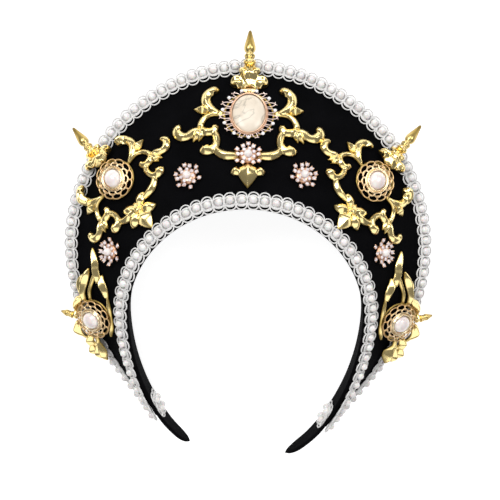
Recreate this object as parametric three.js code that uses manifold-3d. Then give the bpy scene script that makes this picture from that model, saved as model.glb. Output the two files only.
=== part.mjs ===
// French hood: a velvet crescent edged with pearl braid and set with gilt ornaments.
// It lies on its back, front up, X to the right, Y towards the top finial. Millimetres.
import * as THREE from "three";
import { mergeVertices } from "three/addons/utils/BufferGeometryUtils.js";
import Module from "manifold-3d";

const wasm = await Module();
wasm.setup();

const DEGREE = Math.PI / 180;
const TURN = 2 * Math.PI;

// inner edge of the crescent: a round arc over the head, then slower arms
const INNER_RADIUS = 71;
const INNER_ARC = 92 * DEGREE;
const ARM_RADIUS = 140;
const LEFT_LENGTH = 182;
const RIGHT_LENGTH = 189;
const TOP_WIDTH = 94;

// velvet panel and the band inside it
const PANEL_THICKNESS = 4;
const PANEL_ROUNDING = 1;
const STATION_STEP = 8.5;
const GAP = 0.3;
const BAND_THICKNESS = 2.4;
const BAND_DEPTH = 14;
const BAND_ROUNDING = 0.6;
const LEFT_TAIL = 28;
const RIGHT_TAIL = 32;
const TAIL_RADIUS = 75;
const TAIL_SHARES = [0.25, 0.5, 0.75, 0.92, 1];
const TAIL_TAPER_FROM = 0.5;
const TAIL_TAPER_TO = 1.06;

// pearl braid: a ribbon with one pearl in each cell
const BRAID_WIDTH = 11.5;
const BRAID_THICKNESS = 1.2;
const BRAID_GAP = 0.4;
const PEARL_RADIUS = 2.35;
const PEARL_HEIGHT = 2.8;
const PEARL_PITCH = 6.45;
const PEARL_SIDES = 10;
const PEARL_CROWN = 0.6;
const INNER_BRAID_AT = 2.4;
const OUTER_BRAID_IN = 5;
const BRAID_PAST_END = 0.75;
const CORNER_RADIUS = 6.2;
const CORNER_STEPS = 8;
const BRAID_TOP = BRAID_GAP + BRAID_THICKNESS + PEARL_HEIGHT;
const CLIMB = 5;
const CLIMB_END = 0.7;
const LANDING = 8;

// scroll castings, their seats and what stands on them
const CASTING_REACH = 42;
const SEAT_THICKNESS = 1.3;
const SEAT_WALL = 3;
const SEAT_MARGIN = 0.7;
const SEAT_SIDES = 12;
const TIP_REACH = 1.11;
const TIP_HALF_WIDTH = 0.125;
const NECK_HALF_WIDTH = 0.05;
const CASTING_HEIGHT = 2.2;
const FRAME_GAP = 0.4;

// brooch frames and their pearls
const FRAME_RADIUS = 12.5;
const FRAME_LOBES = 8;
const FRAME_THICKNESS = 1.3;
const FRAME_DOME = 0.3;
const FRAME_PIERCING = 2.6;
const BEZEL_HALF_WIDTH = 5.3;
const BEZEL_HALF_HEIGHT = 5.9;
const BROOCH_PEARL_HEIGHT = 4.6;

// centre stone and the ring of rays round it
const STONE_HALF_WIDTH = 9.7;
const STONE_HALF_HEIGHT = 12.5;
const STONE_HEIGHT = 4.4;
const CROWN_HALF_WIDTH = 17.3;
const CROWN_HALF_HEIGHT = 16.3;
const CROWN_RAYS = 22;
const CROWN_THICKNESS = 1.2;
const CROWN_VALLEY = 0.86;

// small starbursts
const STAR_RADIUS = 8.5;
const STAR_RAYS = 10;
const STAR_THICKNESS = 1;
const STAR_VALLEY = 0.6;
const STAR_PEARL = 3.1;

// finials out over the rim
const FINIAL_LENGTH = 17;
const FINIAL_RADIUS = 3.1;
const FINIAL_LEAN = 6 * DEGREE;
const FINIAL_SIDES = 8;
const FINIAL_INSIDE = 3.5;
const NECK_LENGTH = 4;

// across the crescent: share of the arm's length, width as a share of TOP_WIDTH,
// and lean back from the band's plane in degrees
const SECTIONS = [
  { along: 0, width: 1, lean: 45 },
  { along: 0.2, width: 0.907, lean: 44.5 },
  { along: 0.4, width: 0.715, lean: 42.5 },
  { along: 0.6, width: 0.483, lean: 42.5 },
  { along: 0.75, width: 0.335, lean: 49 },
  { along: 0.88, width: 0.277, lean: 63 },
  { along: 1, width: 0.25, lean: 74 },
];

// ornaments: share of the arm's length (left is negative), share of the width there,
// scale of the casting, turn of the whole and swing of its side scrolls in degrees,
// rise of the seat as a share of the braid's top, size of the finial as a share
const ORNAMENTS = [
  { name: "top", along: 0, up: 0.605, scale: 1, turn: 0, swing: 0, rise: 0, finial: 1 },
  { name: "upper_left", along: -0.314, up: 0.625, scale: 0.87, turn: 3, swing: 8, rise: 0.4, finial: 0.9 },
  { name: "upper_right", along: 0.29, up: 0.587, scale: 0.86, turn: -3, swing: -8, rise: 0.4, finial: 0.9 },
  { name: "lower_left", along: -0.645, up: 0.56, scale: 1, turn: 0, swing: 0, rise: 0.72, finial: 0.6 },
  { name: "lower_right", along: 0.618, up: 0.54, scale: 1, turn: 0, swing: 0, rise: 0.72, finial: 0.6 },
];
const STARS = [
  { name: "top", along: 0, up: 0.318 },
  { name: "upper_left", along: -0.154, up: 0.271 },
  { name: "upper_right", along: 0.137, up: 0.275 },
  { name: "lower_left", along: -0.447, up: 0.334 },
  { name: "lower_right", along: 0.423, up: 0.333 },
];

// strokes of the right half of a casting, as shares of CASTING_REACH from the seat's middle:
// route, half width, height as a share of CASTING_HEIGHT, number of steps, kind of taper
const STROKES = [
  { route: [[0.34, 0.02], [0.47, 0.06], [0.57, 0.16], [0.63, 0.28], [0.58, 0.4], [0.48, 0.41], [0.42, 0.34]],
    half: 0.042, high: 1, steps: 6, taper: "scroll" },
  { route: [[0.53, 0.07], [0.64, 0.09], [0.76, 0.11]], half: 0.055, high: 0.9, steps: 2, taper: "leaf" },
  { route: [[0.36, 0.01], [0.5, 0.02], [0.62, -0.03], [0.67, -0.16], [0.76, -0.24], [0.89, -0.3],
    [0.98, -0.26], [1.0, -0.18], [0.93, -0.12]],
    half: 0.034, high: 0.8, steps: 8, taper: "scroll" },
  { route: [[0.66, -0.18], [0.7, -0.27], [0.75, -0.36]], half: 0.045, high: 0.8, steps: 2, taper: "leaf" },
];
const LOWER_STROKES = [
  { route: [[0.66, -0.22], [0.57, -0.27], [0.48, -0.25], [0.42, -0.38], [0.45, -0.52], [0.37, -0.61],
    [0.26, -0.635], [0.03, -0.6]],
    half: 0.034, high: 0.9, steps: 8, taper: "stem" },
  { route: [[0.44, -0.52], [0.55, -0.56], [0.62, -0.45]], half: 0.036, high: 0.9, steps: 3, taper: "scroll" },
];
// beside the bottom leaf, drawn in with it where the room is short
const FLOWER_STROKES = [
  { route: [[0.08, -0.92], [0.2, -0.92], [0.26, -0.84], [0.21, -0.77]],
    half: 0.026, high: 0.7, steps: 3, taper: "stem" },
  { route: [[0.02, -0.64], [0.15, -0.67], [0.29, -0.72]], half: 0.055, high: 0.8, steps: 2, taper: "leaf" },
];
const TOP_STROKES = [
  { route: [[0.03, 0.44], [0.12, 0.52], [0.23, 0.53], [0.29, 0.46], [0.23, 0.4]],
    half: 0.038, high: 0.8, steps: 4, taper: "scroll" },
];
// the low castings run along the rim, x towards the hood's top: a long leaf and three lobes above
// the brooch, a stem beside it, lobes on both sides of the finial and four below
const LOW_STROKES = [
  { route: [[0.27, 0.07], [0.43, 0.09], [0.55, 0.07], [0.68, 0.01]],
    half: 0.03, high: 0.8, steps: 3, taper: "stem" },
  { route: [[0.51, -0.04], [0.61, -0.04], [0.71, 0], [0.81, 0.02], [0.92, 0.08], [1.01, 0.12]],
    half: 0.048, high: 0.9, steps: 5, taper: "leaf" },
  { route: [[0.22, 0.15], [0.36, 0.2], [0.5, 0.19], [0.7, 0.15]], half: 0.052, high: 0.9, steps: 3, taper: "leaf" },
  { route: [[0.67, -0.12], [0.55, -0.14], [0.45, -0.2], [0.34, -0.24]],
    half: 0.045, high: 0.9, steps: 3, taper: "leaf" },
  { route: [[0.42, -0.21], [0.34, -0.24], [0.2, -0.28], [0.05, -0.285], [-0.09, -0.295], [-0.25, -0.29]],
    half: 0.034, high: 0.8, steps: 5, taper: "stem" },
  { route: [[0.06, 0.28], [0.2, 0.28], [0.31, 0.2]], half: 0.052, high: 0.9, steps: 2, taper: "leaf" },
  { route: [[-0.08, 0.28], [-0.26, 0.32], [-0.42, 0.22]], half: 0.055, high: 0.9, steps: 3, taper: "leaf" },
  { route: [[-0.26, 0.07], [-0.4, 0.12], [-0.53, 0.13]], half: 0.052, high: 0.9, steps: 2, taper: "leaf" },
  { route: [[-0.46, 0.12], [-0.6, 0.14], [-0.72, 0.12]], half: 0.05, high: 0.8, steps: 2, taper: "leaf" },
  { route: [[-0.27, 0], [-0.41, -0.02], [-0.5, 0.09]], half: 0.035, high: 0.8, steps: 2, taper: "stem" },
  { route: [[-0.43, -0.01], [-0.6, 0.01], [-0.73, -0.02]], half: 0.045, high: 0.8, steps: 2, taper: "leaf" },
  { route: [[-0.38, -0.03], [-0.57, -0.12], [-0.69, -0.17]], half: 0.042, high: 0.8, steps: 2, taper: "leaf" },
];

// a finial's outline: share of its length, share of its radius
const FINIAL_OUTLINE = [
  { along: 0, radius: 0.55 },
  { along: 0.04, radius: 0.95 },
  { along: 0.1, radius: 0.95 },
  { along: 0.15, radius: 0.45 },
  { along: 0.34, radius: 0.9 },
  { along: 0.55, radius: 0.66 },
  { along: 0.96, radius: 0.14 },
];

const clamp = (value, low, high) => Math.min(Math.max(value, low), high);
const armLength = (s) => (s < 0 ? LEFT_LENGTH : RIGHT_LENGTH);
const mix = (a, b, share) => a + (b - a) * share;

function smooth(value, from, to) {
  const share = clamp((value - from) / (to - from), 0, 1);
  return share * share * (3 - 2 * share);
}

// reads one column of SECTIONS along a smooth curve through its rows
function read(column, along) {
  const last = SECTIONS.length - 1;
  let row = 0;
  while (row < last - 1 && along > SECTIONS[row + 1].along) row += 1;
  const slope = (at) => {
    if (at === 0) return 0;
    const before = SECTIONS[at - 1];
    const after = SECTIONS[Math.min(at + 1, last)];
    return (after[column] - before[column]) / (after.along - before.along);
  };
  const [low, high] = [SECTIONS[row], SECTIONS[row + 1]];
  const span = high.along - low.along;
  const u = (along - low.along) / span;
  const [u2, u3] = [u * u, u * u * u];
  return (2 * u3 - 3 * u2 + 1) * low[column] + (u3 - 2 * u2 + u) * span * slope(row)
    + (3 * u2 - 2 * u3) * high[column] + (u3 - u2) * span * slope(row + 1);
}

const shareOf = (s) => Math.min(Math.abs(s) / armLength(s), 1);
const widthAt = (s) => TOP_WIDTH * read("width", shareOf(s));
const leanAt = (s) => DEGREE * read("lean", shareOf(s));

// point, heading and curvature of the inner edge, s millimetres from the top (left negative)
function edgeAt(s) {
  const way = Math.abs(s);
  const side = s < 0 ? -1 : 1;
  const arc = INNER_RADIUS * INNER_ARC;
  if (way <= arc) {
    const heading = way / INNER_RADIUS;
    return {
      x: side * INNER_RADIUS * Math.sin(heading),
      y: INNER_RADIUS * Math.cos(heading),
      heading: side * heading,
      bend: 1 / INNER_RADIUS,
    };
  }
  const inArm = Math.min(way, armLength(s)) - arc;
  const heading = INNER_ARC + inArm / ARM_RADIUS;
  const shift = INNER_RADIUS - ARM_RADIUS;
  const past = way - arc - inArm;
  return {
    x: side * (shift * Math.sin(INNER_ARC) + ARM_RADIUS * Math.sin(heading) + past * Math.cos(heading)),
    y: shift * Math.cos(INNER_ARC) + ARM_RADIUS * Math.cos(heading) - past * Math.sin(heading),
    heading: side * heading,
    bend: 1 / ARM_RADIUS,
  };
}

// point s along the inner edge, t across the panel and h above its front face
function onPanel(s, t, h = 0) {
  const edge = edgeAt(s);
  const lean = leanAt(s);
  const twist = leanAt(s + 0.5) - leanAt(s - 0.5);
  const out = new THREE.Vector3(Math.sin(edge.heading), Math.cos(edge.heading), 0);
  const ahead = new THREE.Vector3(Math.cos(edge.heading), -Math.sin(edge.heading), 0);
  const across = out.clone().multiplyScalar(Math.cos(lean));
  across.z = -Math.sin(lean);
  const normal = out.clone().multiplyScalar(Math.sin(lean));
  normal.z = Math.cos(lean);
  normal.multiplyScalar(1 + t * edge.bend * Math.cos(lean)).addScaledVector(ahead, t * twist).normalize();
  return new THREE.Vector3(edge.x, edge.y, 0).addScaledVector(across, t).addScaledVector(normal, h);
}

// radius of the flat pattern's inner edge round s
function patternRadius(s) {
  return 1 / (Math.max(edgeAt(s).bend, 1 / INNER_RADIUS) * Math.cos(leanAt(s)));
}

// turns flat x, y round the spot s, t into s, t of the panel
function fromFlat(spot, x, y) {
  const radius = patternRadius(spot.s);
  const [cos, sin] = [Math.cos(spot.turn), Math.sin(spot.turn)];
  const [flatX, flatY] = [x * cos - y * sin, x * sin + y * cos];
  const rho = Math.hypot(flatX, radius + spot.t + flatY);
  const angle = Math.atan2(flatX, radius + spot.t + flatY);
  return { s: spot.s + angle * radius, t: rho - radius };
}

// joins two rings of corners that go round the same way, the second inside or above the first
function stitch(faces, low, high) {
  const sorted = (ring) => [...ring].sort((a, b) => a.angle - b.angle);
  const [below, above] = [sorted(low), sorted(high)];
  const at = (ring, k) => ring[k % ring.length].angle + Math.floor(k / ring.length);
  const id = (ring, k) => ring[k % ring.length].id;
  let [i, j] = [0, 0];
  while (i < below.length || j < above.length) {
    const stepLow = j >= above.length || (i < below.length && at(below, i + 1) <= at(above, j + 1));
    if (stepLow) {
      faces.push(id(below, i), id(below, i + 1), id(above, j));
      i += 1;
    } else {
      faces.push(id(below, i), id(above, j + 1), id(above, j));
      j += 1;
    }
  }
}

function geometryOf(points, faces) {
  const geometry = new THREE.BufferGeometry();
  geometry.setAttribute("position", new THREE.Float32BufferAttribute(points.flatMap((p) => [p.x, p.y, p.z]), 3));
  geometry.setIndex(faces);
  return geometry;
}

// a body of stacked rings; each ring is a list of points round one axis
function stackBody(rings) {
  const points = [];
  const faces = [];
  const numbered = rings.map((ring) => ring.map((point, k) => {
    points.push(point);
    return { id: points.length - 1, angle: k / ring.length };
  }));
  for (let k = 0; k + 1 < numbered.length; k += 1) stitch(faces, numbered[k], numbered[k + 1]);
  const cap = (ring, up) => {
    const middle = ring.reduce((sum, corner) => sum.add(points[corner.id]), new THREE.Vector3());
    points.push(middle.divideScalar(ring.length));
    ring.forEach((corner, k) => {
      const next = ring[(k + 1) % ring.length].id;
      faces.push(...(up ? [corner.id, next, points.length - 1] : [next, corner.id, points.length - 1]));
    });
  };
  cap(numbered[0], false);
  cap(numbered[numbered.length - 1], true);
  return geometryOf(points, faces);
}

// six times the volume inside a body's faces
function volumeOf(points, faces) {
  let volume = 0;
  for (let k = 0; k < faces.length; k += 3) {
    const [a, b, c] = [faces[k], faces[k + 1], faces[k + 2]].map((id) => points[id]);
    volume += a.dot(b.clone().cross(c));
  }
  return volume;
}

// a body with its faces turned outwards
function outwardBody(points, faces) {
  if (volumeOf(points, faces) < 0) {
    for (let k = 0; k < faces.length; k += 3) [faces[k + 1], faces[k + 2]] = [faces[k + 2], faces[k + 1]];
  }
  return geometryOf(points, faces);
}

// a body through equal convex sections, capped at both ends; twisted faces fold inwards
function loftBody(sections) {
  const count = sections[0].length;
  const points = sections.flat();
  const facesFolded = (way) => {
    const faces = [];
    for (let k = 0; k + 1 < sections.length; k += 1) {
      for (let i = 0; i < count; i += 1) {
        const [a, b] = [k * count + i, k * count + ((i + 1) % count)];
        const [c, d] = [b + count, a + count];
        const [toB, toC, toD] = [b, c, d].map((id) => points[id].clone().sub(points[a]));
        const hollow = way * toD.dot(toB.cross(toC)) >= 0;
        faces.push(...(hollow ? [a, b, c, a, c, d] : [a, b, d, b, c, d]));
      }
    }
    const end = (sections.length - 1) * count;
    for (let i = 1; i + 1 < count; i += 1) faces.push(0, i + 1, i, end, end + i, end + i + 1);
    return faces;
  };
  const [one, other] = [facesFolded(1), facesFolded(-1)];
  const slim = Math.abs(volumeOf(points, one)) < Math.abs(volumeOf(points, other)) ? one : other;
  return outwardBody(points, slim);
}

function solidOf(geometry) {
  geometry.deleteAttribute("normal");
  geometry.deleteAttribute("uv");
  const merged = mergeVertices(geometry);
  return new wasm.Manifold(new wasm.Mesh({
    numProp: 3,
    vertProperties: new Float32Array(merged.getAttribute("position").array),
    triVerts: new Uint32Array(merged.getIndex().array),
  }));
}

function pointsOf(solid) {
  const mesh = solid.getMesh();
  const points = [];
  for (let k = 0; k < mesh.vertProperties.length; k += mesh.numProp) {
    points.push(new THREE.Vector3(...mesh.vertProperties.slice(k, k + 3)));
  }
  return { points, faces: Array.from(mesh.triVerts) };
}

function stations() {
  const reach = (length) => {
    const steps = Math.round(length / STATION_STEP);
    return Array.from({ length: steps + 1 }, (_, k) => (length * k) / steps);
  };
  return [...reach(LEFT_LENGTH).reverse().map((s) => -s), ...reach(RIGHT_LENGTH).slice(1)];
}

function crescentPanel() {
  return loftBody(stations().map((s) => {
    const width = widthAt(s) - PANEL_ROUNDING * smooth(shareOf(s), 0.97, 1);
    const foot = Math.tan(leanAt(s));
    const half = PANEL_ROUNDING / 2;
    return [
      onPanel(s, PANEL_ROUNDING, 0),
      onPanel(s, width - PANEL_ROUNDING, 0),
      onPanel(s, width, -PANEL_ROUNDING),
      onPanel(s, width, PANEL_ROUNDING - PANEL_THICKNESS),
      onPanel(s, width - PANEL_ROUNDING, -PANEL_THICKNESS),
      onPanel(s, PANEL_THICKNESS * foot, -PANEL_THICKNESS),
      onPanel(s, half * foot, -half),
    ];
  }));
}

// the band follows the inner edge and runs on past both ends in short curled tails
function headband() {
  const sectionAt = (x, y, heading, tip) => {
    const [outX, outY] = [Math.sin(heading), Math.cos(heading)];
    const middle = -BAND_DEPTH / 2;
    const deep = (BAND_DEPTH / 2) * tip;
    const [outer, inner] = [-GAP, -GAP - BAND_THICKNESS];
    return [
      [outer, middle - deep], [outer - BAND_ROUNDING, middle + deep],
      [inner, middle + deep - BAND_ROUNDING * tip], [inner, middle - deep],
    ].map(([away, z]) => new THREE.Vector3(x + away * outX, y + away * outY, z));
  };
  const tail = (side, length) => {
    const start = edgeAt(side * armLength(side));
    return TAIL_SHARES.map((share) => {
      const turn = start.heading + (side * share * length) / TAIL_RADIUS;
      const x = start.x + TAIL_RADIUS * (Math.sin(turn) - Math.sin(start.heading));
      const y = start.y + TAIL_RADIUS * (Math.cos(turn) - Math.cos(start.heading));
      const tip = Math.sqrt(1 - smooth(share, TAIL_TAPER_FROM, TAIL_TAPER_TO) ** 2);
      return sectionAt(x, y, turn, tip);
    });
  };
  const middle = stations().map((s) => {
    const edge = edgeAt(s);
    return sectionAt(edge.x, edge.y, edge.heading, 1);
  });
  return loftBody([...tail(-1, LEFT_TAIL).reverse(), ...middle, ...tail(1, RIGHT_TAIL)]);
}

// route of a braid as close spots on the panel
function innerRoute() {
  const [from, to] = [-LEFT_LENGTH - BRAID_PAST_END, RIGHT_LENGTH + BRAID_PAST_END];
  const count = Math.ceil(to - from);
  return Array.from({ length: count + 1 }, (_, k) => [mix(from, to, k / count), INNER_BRAID_AT]);
}

function outerRoute() {
  const bar = BRAID_WIDTH / 2 - BRAID_PAST_END;
  const corner = (side) => {
    const end = armLength(side) - bar - CORNER_RADIUS;
    const high = widthAt(side * end) - OUTER_BRAID_IN - CORNER_RADIUS;
    const round = Array.from({ length: CORNER_STEPS + 1 }, (_, k) => {
      const turn = (k / CORNER_STEPS) * (Math.PI / 2);
      return [side * (end + CORNER_RADIUS * Math.sin(turn)), high + CORNER_RADIUS * Math.cos(turn)];
    });
    const low = INNER_BRAID_AT + BRAID_WIDTH / 2 + GAP;
    return high > low ? [...round, [round[CORNER_STEPS][0], low]] : round;
  };
  const [from, to] = [corner(-1)[0][0] + 1, corner(1)[0][0] - 1];
  const count = Math.ceil(to - from);
  const rim = Array.from({ length: count + 1 }, (_, k) => {
    const s = mix(from, to, k / count);
    return [s, widthAt(s) - OUTER_BRAID_IN];
  });
  return [...corner(-1).reverse(), ...rim, ...corner(1)];
}

// a ribbon along a route with one pearl in each cell
function pearlBraid(route) {
  const lengths = [0];
  for (let k = 1; k < route.length; k += 1) {
    lengths.push(lengths[k - 1] + onPanel(...route[k]).distanceTo(onPanel(...route[k - 1])));
  }
  const total = lengths[lengths.length - 1];
  const spotAt = (way) => {
    let k = 1;
    while (k < route.length - 1 && lengths[k] < way) k += 1;
    const share = (way - lengths[k - 1]) / (lengths[k] - lengths[k - 1]);
    return [0, 1].map((axis) => mix(route[k - 1][axis], route[k][axis], share));
  };
  const frameAt = (way) => {
    const near = PEARL_PITCH / 10;
    const [before, spot, after] = [Math.max(way - near, 0), way, Math.min(way + near, total)].map(spotAt);
    const origin = onPanel(...spot, BRAID_GAP);
    const normal = onPanel(...spot, BRAID_GAP + 1).sub(origin);
    const ahead = onPanel(...after).sub(onPanel(...before)).normalize();
    const across = normal.clone().cross(ahead).normalize();
    const point = (along, wide, high) => origin.clone().addScaledVector(ahead, along)
      .addScaledVector(across, wide).addScaledVector(normal, high);
    return point;
  };
  const cells = Math.round(total / PEARL_PITCH);
  const points = [];
  const faces = [];
  const add = (point) => points.push(point) - 1;
  const rows = Array.from({ length: cells + 1 }, (_, k) => {
    const point = frameAt((total * k) / cells);
    const half = BRAID_WIDTH / 2;
    return {
      lowIn: add(point(0, -half, 0)),
      lowOut: add(point(0, half, 0)),
      topIn: add(point(0, -half, BRAID_THICKNESS)),
      topOut: add(point(0, half, BRAID_THICKNESS)),
    };
  });
  const quad = (a, b, c, d) => faces.push(a, b, c, a, c, d);
  for (let k = 0; k < cells; k += 1) {
    const [a, b] = [rows[k], rows[k + 1]];
    const point = frameAt((total * (k + 0.5)) / cells);
    const origin = point(0, 0, 0);
    const [ahead, across] = [point(1, 0, 0).sub(origin), point(0, 1, 0).sub(origin)];
    const corners = [a.topIn, b.topIn, b.topOut, a.topOut].map((id) => {
      const away = points[id].clone().sub(origin);
      const angle = Math.atan2(away.dot(across), away.dot(ahead)) / TURN;
      return { id, angle: angle < 0 ? angle + 1 : angle };
    });
    const ring = (sides, radius, high) => Array.from({ length: sides }, (_, i) => ({
      id: add(point(radius * Math.cos((TURN * i) / sides), radius * Math.sin((TURN * i) / sides), high)),
      angle: i / sides,
    }));
    const girth = ring(PEARL_SIDES, PEARL_RADIUS, BRAID_THICKNESS);
    const crown = ring(PEARL_SIDES / 2, PEARL_RADIUS * PEARL_CROWN, BRAID_THICKNESS + PEARL_HEIGHT);
    stitch(faces, corners, girth);
    stitch(faces, girth, crown);
    for (let i = 1; i + 1 < crown.length; i += 1) faces.push(crown[0].id, crown[i].id, crown[i + 1].id);
    quad(a.lowOut, b.lowOut, b.lowIn, a.lowIn);
    quad(a.lowIn, b.lowIn, b.topIn, a.topIn);
    quad(b.lowOut, a.lowOut, a.topOut, b.topOut);
  }
  const [first, last] = [rows[0], rows[cells]];
  quad(first.lowOut, first.lowIn, first.topIn, first.topOut);
  quad(last.lowIn, last.lowOut, last.topOut, last.topIn);
  return outwardBody(points, faces);
}

// share of a stroke's half width at share u of its way
const TAPERS = {
  stem: (u) => 0.55 + 0.45 * Math.sin(Math.PI * clamp(u, 0, 1)),
  scroll: (u) => 0.5 + 0.5 * smooth(u, 0, 0.3) + 0.35 * smooth(u, 0.75, 0.95),
  leaf: (u) => 0.1 + 0.9 * Math.sin(Math.PI * clamp(u, 0, 1) ** 0.8),
};

// a ridge with a three-cornered section along a route in the flat
function ridgeBody(stroke, reach, side) {
  const curve = new THREE.CatmullRomCurve3(
    stroke.route.map(([x, y]) => new THREE.Vector3(side * x * reach, y * reach, 0)), false, "centripetal");
  const sections = Array.from({ length: stroke.steps + 1 }, (_, k) => {
    const u = k / stroke.steps;
    const at = curve.getPointAt(u);
    const ahead = curve.getTangentAt(u);
    const share = TAPERS[stroke.taper](u);
    const half = stroke.half * reach * share;
    const beside = new THREE.Vector3(-ahead.y, ahead.x, 0).multiplyScalar(half);
    const top = at.clone();
    top.z = stroke.high * CASTING_HEIGHT * (0.4 + 0.6 * Math.min(share, 1));
    return [at.clone().sub(beside), at.clone().add(beside), top];
  });
  return solidOf(loftBody(sections));
}

function prism(outline, holes, height) {
  const shape = new THREE.Shape(outline);
  holes.forEach((hole) => shape.holes.push(new THREE.Path(hole)));
  return new THREE.ExtrudeGeometry(shape, { depth: height, bevelEnabled: false });
}

function ellipse(halfWidth, halfHeight, sides, turn = 0) {
  return Array.from({ length: sides }, (_, k) => {
    const angle = (TURN * (k + turn)) / sides;
    return new THREE.Vector2(halfWidth * Math.cos(angle), halfHeight * Math.sin(angle));
  });
}

const hasCrown = (ornament) => ornament.rise === 0;
const isLow = (ornament) => Math.abs(ornament.along) > 0.5;
const seatRadius = (ornament) => (hasCrown(ornament) ? CROWN_HALF_WIDTH : FRAME_RADIUS) + SEAT_MARGIN;

// where an ornament sits, and the plane that its seat lies in
function spotOf(ornament) {
  const s = ornament.along * armLength(ornament.along);
  const t = ornament.up * widthAt(s);
  const rise = Math.max(ornament.rise * BRAID_TOP, GAP);
  const stretch = 1 + t / patternRadius(s);
  const rim = Math.atan((widthAt(s + 1) - widthAt(s - 1)) / (2 * stretch));
  return { s, t, rim, turn: (ornament.turn || 0) * DEGREE, rise, slope: (rise - GAP) / FRAME_RADIUS };
}

// a finial starts just inside the rim, and past the seat
function finialStart(ornament) {
  const spot = spotOf(ornament);
  return Math.max(widthAt(spot.s) - spot.t - FINIAL_INSIDE, seatRadius(ornament) + NECK_LENGTH);
}

// height of an ornament's underside above the velvet: its seat's plane, then down to the velvet,
// and up again over the outer braid
function undersideAt(spot, seat, x, y, s, t) {
  const braidSide = widthAt(s) - OUTER_BRAID_IN - BRAID_WIDTH / 2;
  const climb = smooth(t, braidSide - CLIMB - CLIMB_END, braidSide - CLIMB_END);
  const away = Math.hypot(x, y);
  const free = smooth(away, seat, seat + 0.5 * CLIMB);
  const held = 1 - smooth(away, seat + 0.5 * CLIMB, seat + 0.5 * CLIMB + LANDING);
  const angle = spot.turn - spot.rim;
  const plane = spot.rise - GAP + spot.slope * (x * Math.sin(angle) + y * Math.cos(angle));
  return GAP + Math.max(Math.max(plane, 0) * held, BRAID_TOP * climb * free);
}

function scrollCasting(ornament) {
  const spot = spotOf(ornament);
  const reach = CASTING_REACH * ornament.scale;
  const seat = seatRadius(ornament);
  const rim = finialStart(ornament) - GAP;
  const tip = -Math.min(TIP_REACH, (spot.t - INNER_BRAID_AT - BRAID_WIDTH / 2 - 2 * GAP) / reach);
  const middle = (from, to, half, taper) => ({
    route: [[0, from], [0, (from + to) / 2], [0, to]], half, high: 1, steps: 2, taper,
  });
  const neck = middle((seat - 1) / reach, rim / reach, NECK_HALF_WIDTH, "stem");
  const flower = [
    middle(-(seat - 1) / reach, 0.8 * tip, NECK_HALF_WIDTH, "stem"),
    middle(0.66 * tip, tip, TIP_HALF_WIDTH, "leaf"),
    middle((seat - 0.5) / reach, (seat - 0.5) / reach + 0.26, 2 * NECK_HALF_WIDTH, "leaf"),
  ];
  const drawnIn = ({ route, ...rest }) => ({ ...rest, route: route.map(([x, y]) => [x, (-y * tip) / TIP_REACH]) });
  const sides = isLow(ornament) ? [ornament.along < 0 ? 1 : -1] : [-1, 1];
  const scrolls = isLow(ornament) ? LOW_STROKES : [...STROKES, ...LOWER_STROKES];
  const trims = isLow(ornament) ? [] : [...TOP_STROKES, ...FLOWER_STROKES.map(drawnIn)];
  const middles = [neck, ...(isLow(ornament) ? [] : flower)];
  const ring = prism(ellipse(seat, seat, SEAT_SIDES), [ellipse(seat - SEAT_WALL, seat - SEAT_WALL, SEAT_SIDES)],
    SEAT_THICKNESS);
  let solid = solidOf(ring);
  for (const side of sides) {
    for (const stroke of scrolls) {
      solid = solid.add(ridgeBody(stroke, reach, side).rotate([0, 0, ornament.swing]));
    }
    for (const stroke of trims) solid = solid.add(ridgeBody(stroke, reach, side));
  }
  for (const stroke of middles) solid = solid.add(ridgeBody(stroke, reach, 1));
  const clear = (radius, x, y) => {
    const room = new THREE.CylinderGeometry(radius, radius, CASTING_HEIGHT * 2, SEAT_SIDES);
    room.rotateX(Math.PI / 2);
    room.translate(x, y, SEAT_THICKNESS + CASTING_HEIGHT);
    solid = solid.subtract(solidOf(room));
  };
  clear(seat, 0, 0);
  if (hasCrown(ornament)) {
    const star = STARS[0];
    clear(STAR_RADIUS + SEAT_MARGIN, 0, star.up * widthAt(0) - spot.t);
  }
  const { points, faces } = pointsOf(solid);
  points.forEach((point) => {
    const { x, y, z } = point;
    const { s, t } = fromFlat(spot, x, y);
    point.copy(onPanel(s, t, undersideAt(spot, seat, x, y, s, t) + z));
  });
  return geometryOf(points, faces);
}

// places a flat piece rigidly over a spot, tilted with its seat's plane
function seatMatrix(spot, height) {
  const origin = onPanel(spot.s, spot.t, spot.rise);
  const normal = onPanel(spot.s, spot.t, 1).sub(onPanel(spot.s, spot.t, 0));
  const up = onPanel(spot.s, spot.t + 1, 0).sub(onPanel(spot.s, spot.t, 0)).normalize();
  const side = up.clone().cross(normal).normalize();
  const turned = (angle) => side.clone().multiplyScalar(Math.cos(angle)).addScaledVector(up, Math.sin(angle));
  const hinge = turned(spot.rim);
  const climb = turned(spot.rim + Math.PI / 2).addScaledVector(normal, spot.slope).normalize();
  const top = hinge.clone().cross(climb);
  const turn = new THREE.Matrix4().makeRotationZ(spot.turn - spot.rim);
  return new THREE.Matrix4().makeBasis(hinge, climb, top).setPosition(origin.addScaledVector(top, height))
    .multiply(turn);
}

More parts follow.
